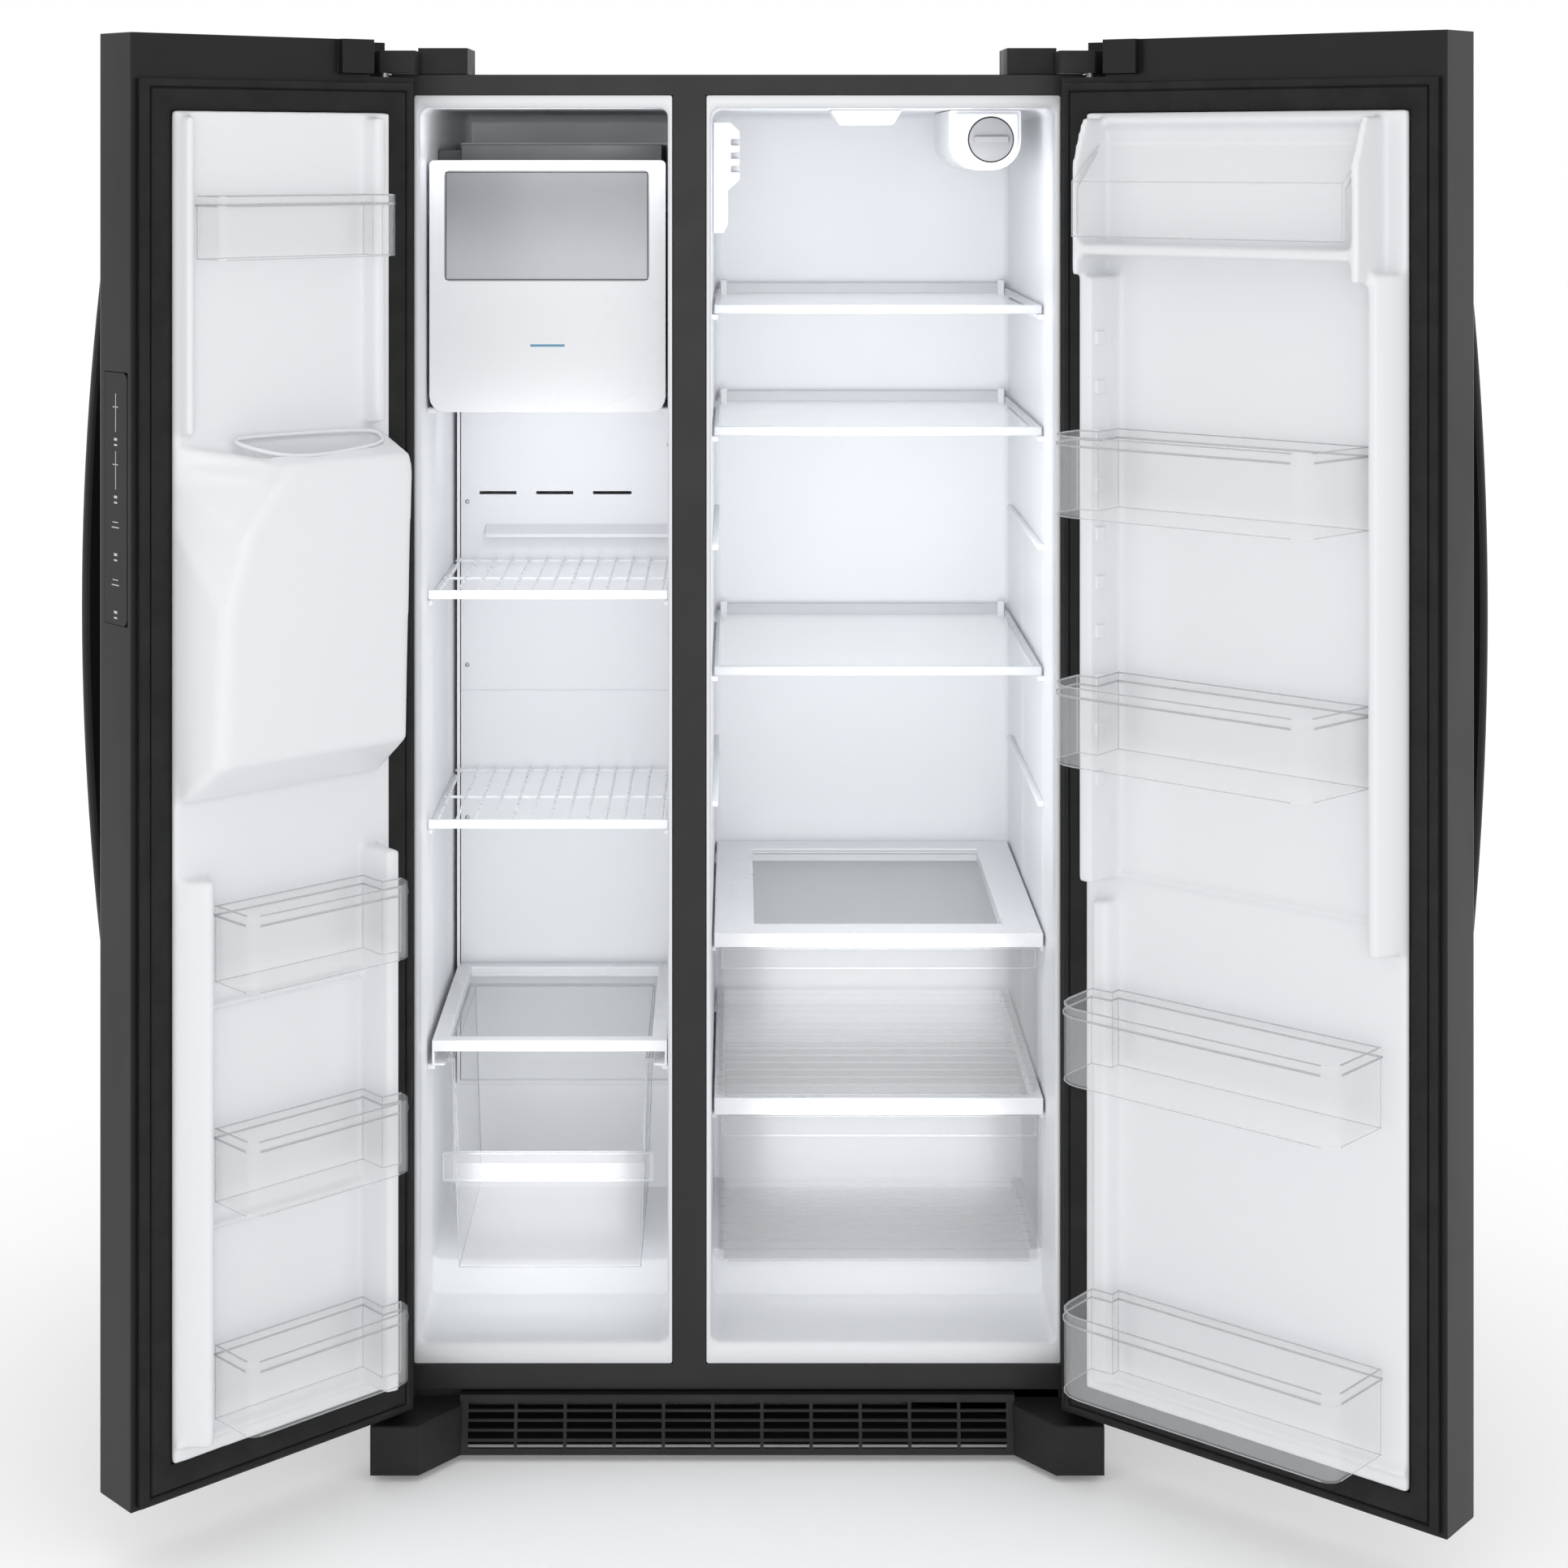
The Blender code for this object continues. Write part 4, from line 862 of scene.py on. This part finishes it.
# Each lamp's name, place, target, size and power. Places are from the middle of the cabinet's front foot.
LAMPS = (
    ("front", (0.05, -4.6, 1.4), (0.05, 0.4, 0.9), (1.4, 1.4), 17.0),
    ("freezer_strip", (-0.243, 0.02, 0.74), (-0.243, 0.5, 0.74), (0.24, 1.08), 0.85),
    ("freezer_top", (-0.243, 0.01, 1.65), (-0.243, 0.5, 1.67), (0.26, 0.03), 0.25),
    ("freezer_low", (-0.243, 0.08, 0.31), (-0.243, 0.5, 0.28), (0.2, 0.16), 0.14),
    ("freezer_glow", (-0.243, 0.2, 1.28), (-0.243, 0.52, 1.13), (0.16, 0.05), 0.16),
    ("fridge_top", (0.183, 0.03, 1.6), (0.183, 0.5, 1.57), (0.34, 0.06), 0.32),
    ("fridge_strip", (0.183, 0.02, 1.13), (0.183, 0.5, 1.13), (0.36, 0.9), 1.6),
    ("drawer_upper", (0.183, 0.09, 0.55), (0.183, 0.5, 0.5), (0.3, 0.12), 0.19),
    ("drawer_lower", (0.183, 0.09, 0.33), (0.183, 0.5, 0.28), (0.3, 0.12), 0.19),
    ("fridge_low", (0.183, -0.04, 0.4), (0.183, 0.5, 0.3), (0.32, 0.3), 0.16),
)


def sky():
    world = bpy.data.worlds.new("studio")
    bpy.context.scene.world = world
    world.use_nodes = True
    background = world.node_tree.nodes["Background"]
    background.inputs["Color"].default_value = (1, 1, 1, 1)
    background.inputs["Strength"].default_value = 1.0


def ground(name, centre, size, surface):
    """A level rectangle that belongs to the studio."""
    bpy.ops.mesh.primitive_plane_add(size=1, location=centre)
    plane = bpy.context.object
    plane.name = name
    plane.scale = (*size, 1)
    plane.data.materials.append(surface.material)


def studio():
    """A white floor and sky, with a dark mat under the cabinet for the deep shade there."""
    sky()
    white = Surface("floor_white", (0.97, 0.97, 0.97), 0.8)
    white.set(Emission_Color=(1, 1, 1, 1), Emission_Strength=0.12)
    white.vary_roughness(3, 0.65, 0.75)
    ground("studio_floor", (MIDDLE, FRONT, -1 * MM), (60, 60), white)
    black = Surface("mat_black", (0.006, 0.006, 0.006), 0.9)
    black.vary_roughness(3, 0.85, 0.95)
    ground("shade_mat", (MIDDLE, FRONT + 0.33, 0.2 * MM), (0.80, 0.62), black)
    for lamp in LAMPS:
        softbox(*lamp)


def softbox(name, place, target, size, power):
    """A soft rectangular lamp that shines from its place towards its target."""
    lamp = bpy.data.lights.new(name, "AREA")
    lamp.shape = "RECTANGLE"
    lamp.size, lamp.size_y = size
    lamp.energy = power
    lamp.color = (0.97, 0.976, 1.0)
    obj = bpy.data.objects.new(name, lamp)
    bpy.context.scene.collection.objects.link(obj)
    middle = Vector((MIDDLE, FRONT, 0))
    obj.location = middle + Vector(place)
    aim = middle + Vector(target) - obj.location
    obj.rotation_euler = aim.to_track_quat("-Z", "Y").to_euler()


def camera():
    """The camera looks straight back from above the middle of the cabinet. A shear on its holder drops
    the frame as a shift lens does, so uprights stay upright. Without the holder it is a plain camera."""
    lens = 64.42
    sensor = 36
    drop = Vector((0.0298, -0.4017, 0)) * sensor / lens
    lean = Matrix.Identity(4)
    lean[0][2] = -drop.x
    lean[1][2] = -drop.y
    view = bpy.data.cameras.new("camera")
    view.sensor_width = sensor
    view.lens = lens * math.sqrt(1 + drop.length_squared)
    obj = bpy.data.objects.new("camera", view)
    holder = bpy.data.objects.new("camera_holder", None)
    for made in (obj, holder):
        bpy.context.scene.collection.objects.link(made)
    stand = Matrix.Translation((MIDDLE, FRONT - 3.511, 1.624))
    place = stand @ Matrix.Rotation(math.radians(90), 4, "X")
    obj.matrix_basis = place
    obj.parent = holder
    obj.matrix_parent_inverse = place @ lean @ place.inverted()
    bpy.context.scene.camera = obj
    bpy.context.scene.view_settings.view_transform = "Standard"


# How far each hard piece's edges are rounded, in millimetres.
RIGID = {
    "cabinet_shell": 1.2, "face_frame": 1.0, "freezer_door_shell": 1.2, "fridge_door_shell": 1.2,
    "hinge_cover_left": 1.0, "hinge_cover_right": 1.0,
    "evaporator_cover": 0.8, "ice_maker": 1.0, "ice_bin": 1.0,
    "crisper_mid_frame": 1.6, "ceiling_lamp": 1.5, "air_diffuser": 1.5,
    "filter_housing": 1.0, "filter_cartridge": 0.8, "control_panel": 0.3, "dispenser_housing": 1.0,
}
CLEAR = ["freezer_basket", "crisper_upper", "crisper_lower", "dairy_lid"]
CLEAR += [f"{door}_bin_{index}" for door in LEAVES for index in (1, 2, 3, 4)]

dress_cad()
for node, width in RIGID.items():
    softened(node, width)
for node in CLEAR:
    edge_lines(node).visible_shadow = False
    NODES[node].visible_shadow = False
for leaf in LEAVES.values():
    thermoformed(leaf.name + "_liner")
    door_gasket(leaf)
build_liners()
framed_pane("crisper_cover", (52, 49, 47, 48), 1.5)
framed_pane("basket_cover", (20, 20, 18, 18), 1.2)
for index in (1, 2, 3):
    glass_shelf(f"glass_shelf_{index}")
ice_bin_window()
air_cover_screws()
panel_marks(LEAVES["freezer_door"])
funnel_rim(LEAVES["freezer_door"])
bin_studs(LEAVES["fridge_door"])
grille_corners()
air_cover_edges()
studio()
camera()
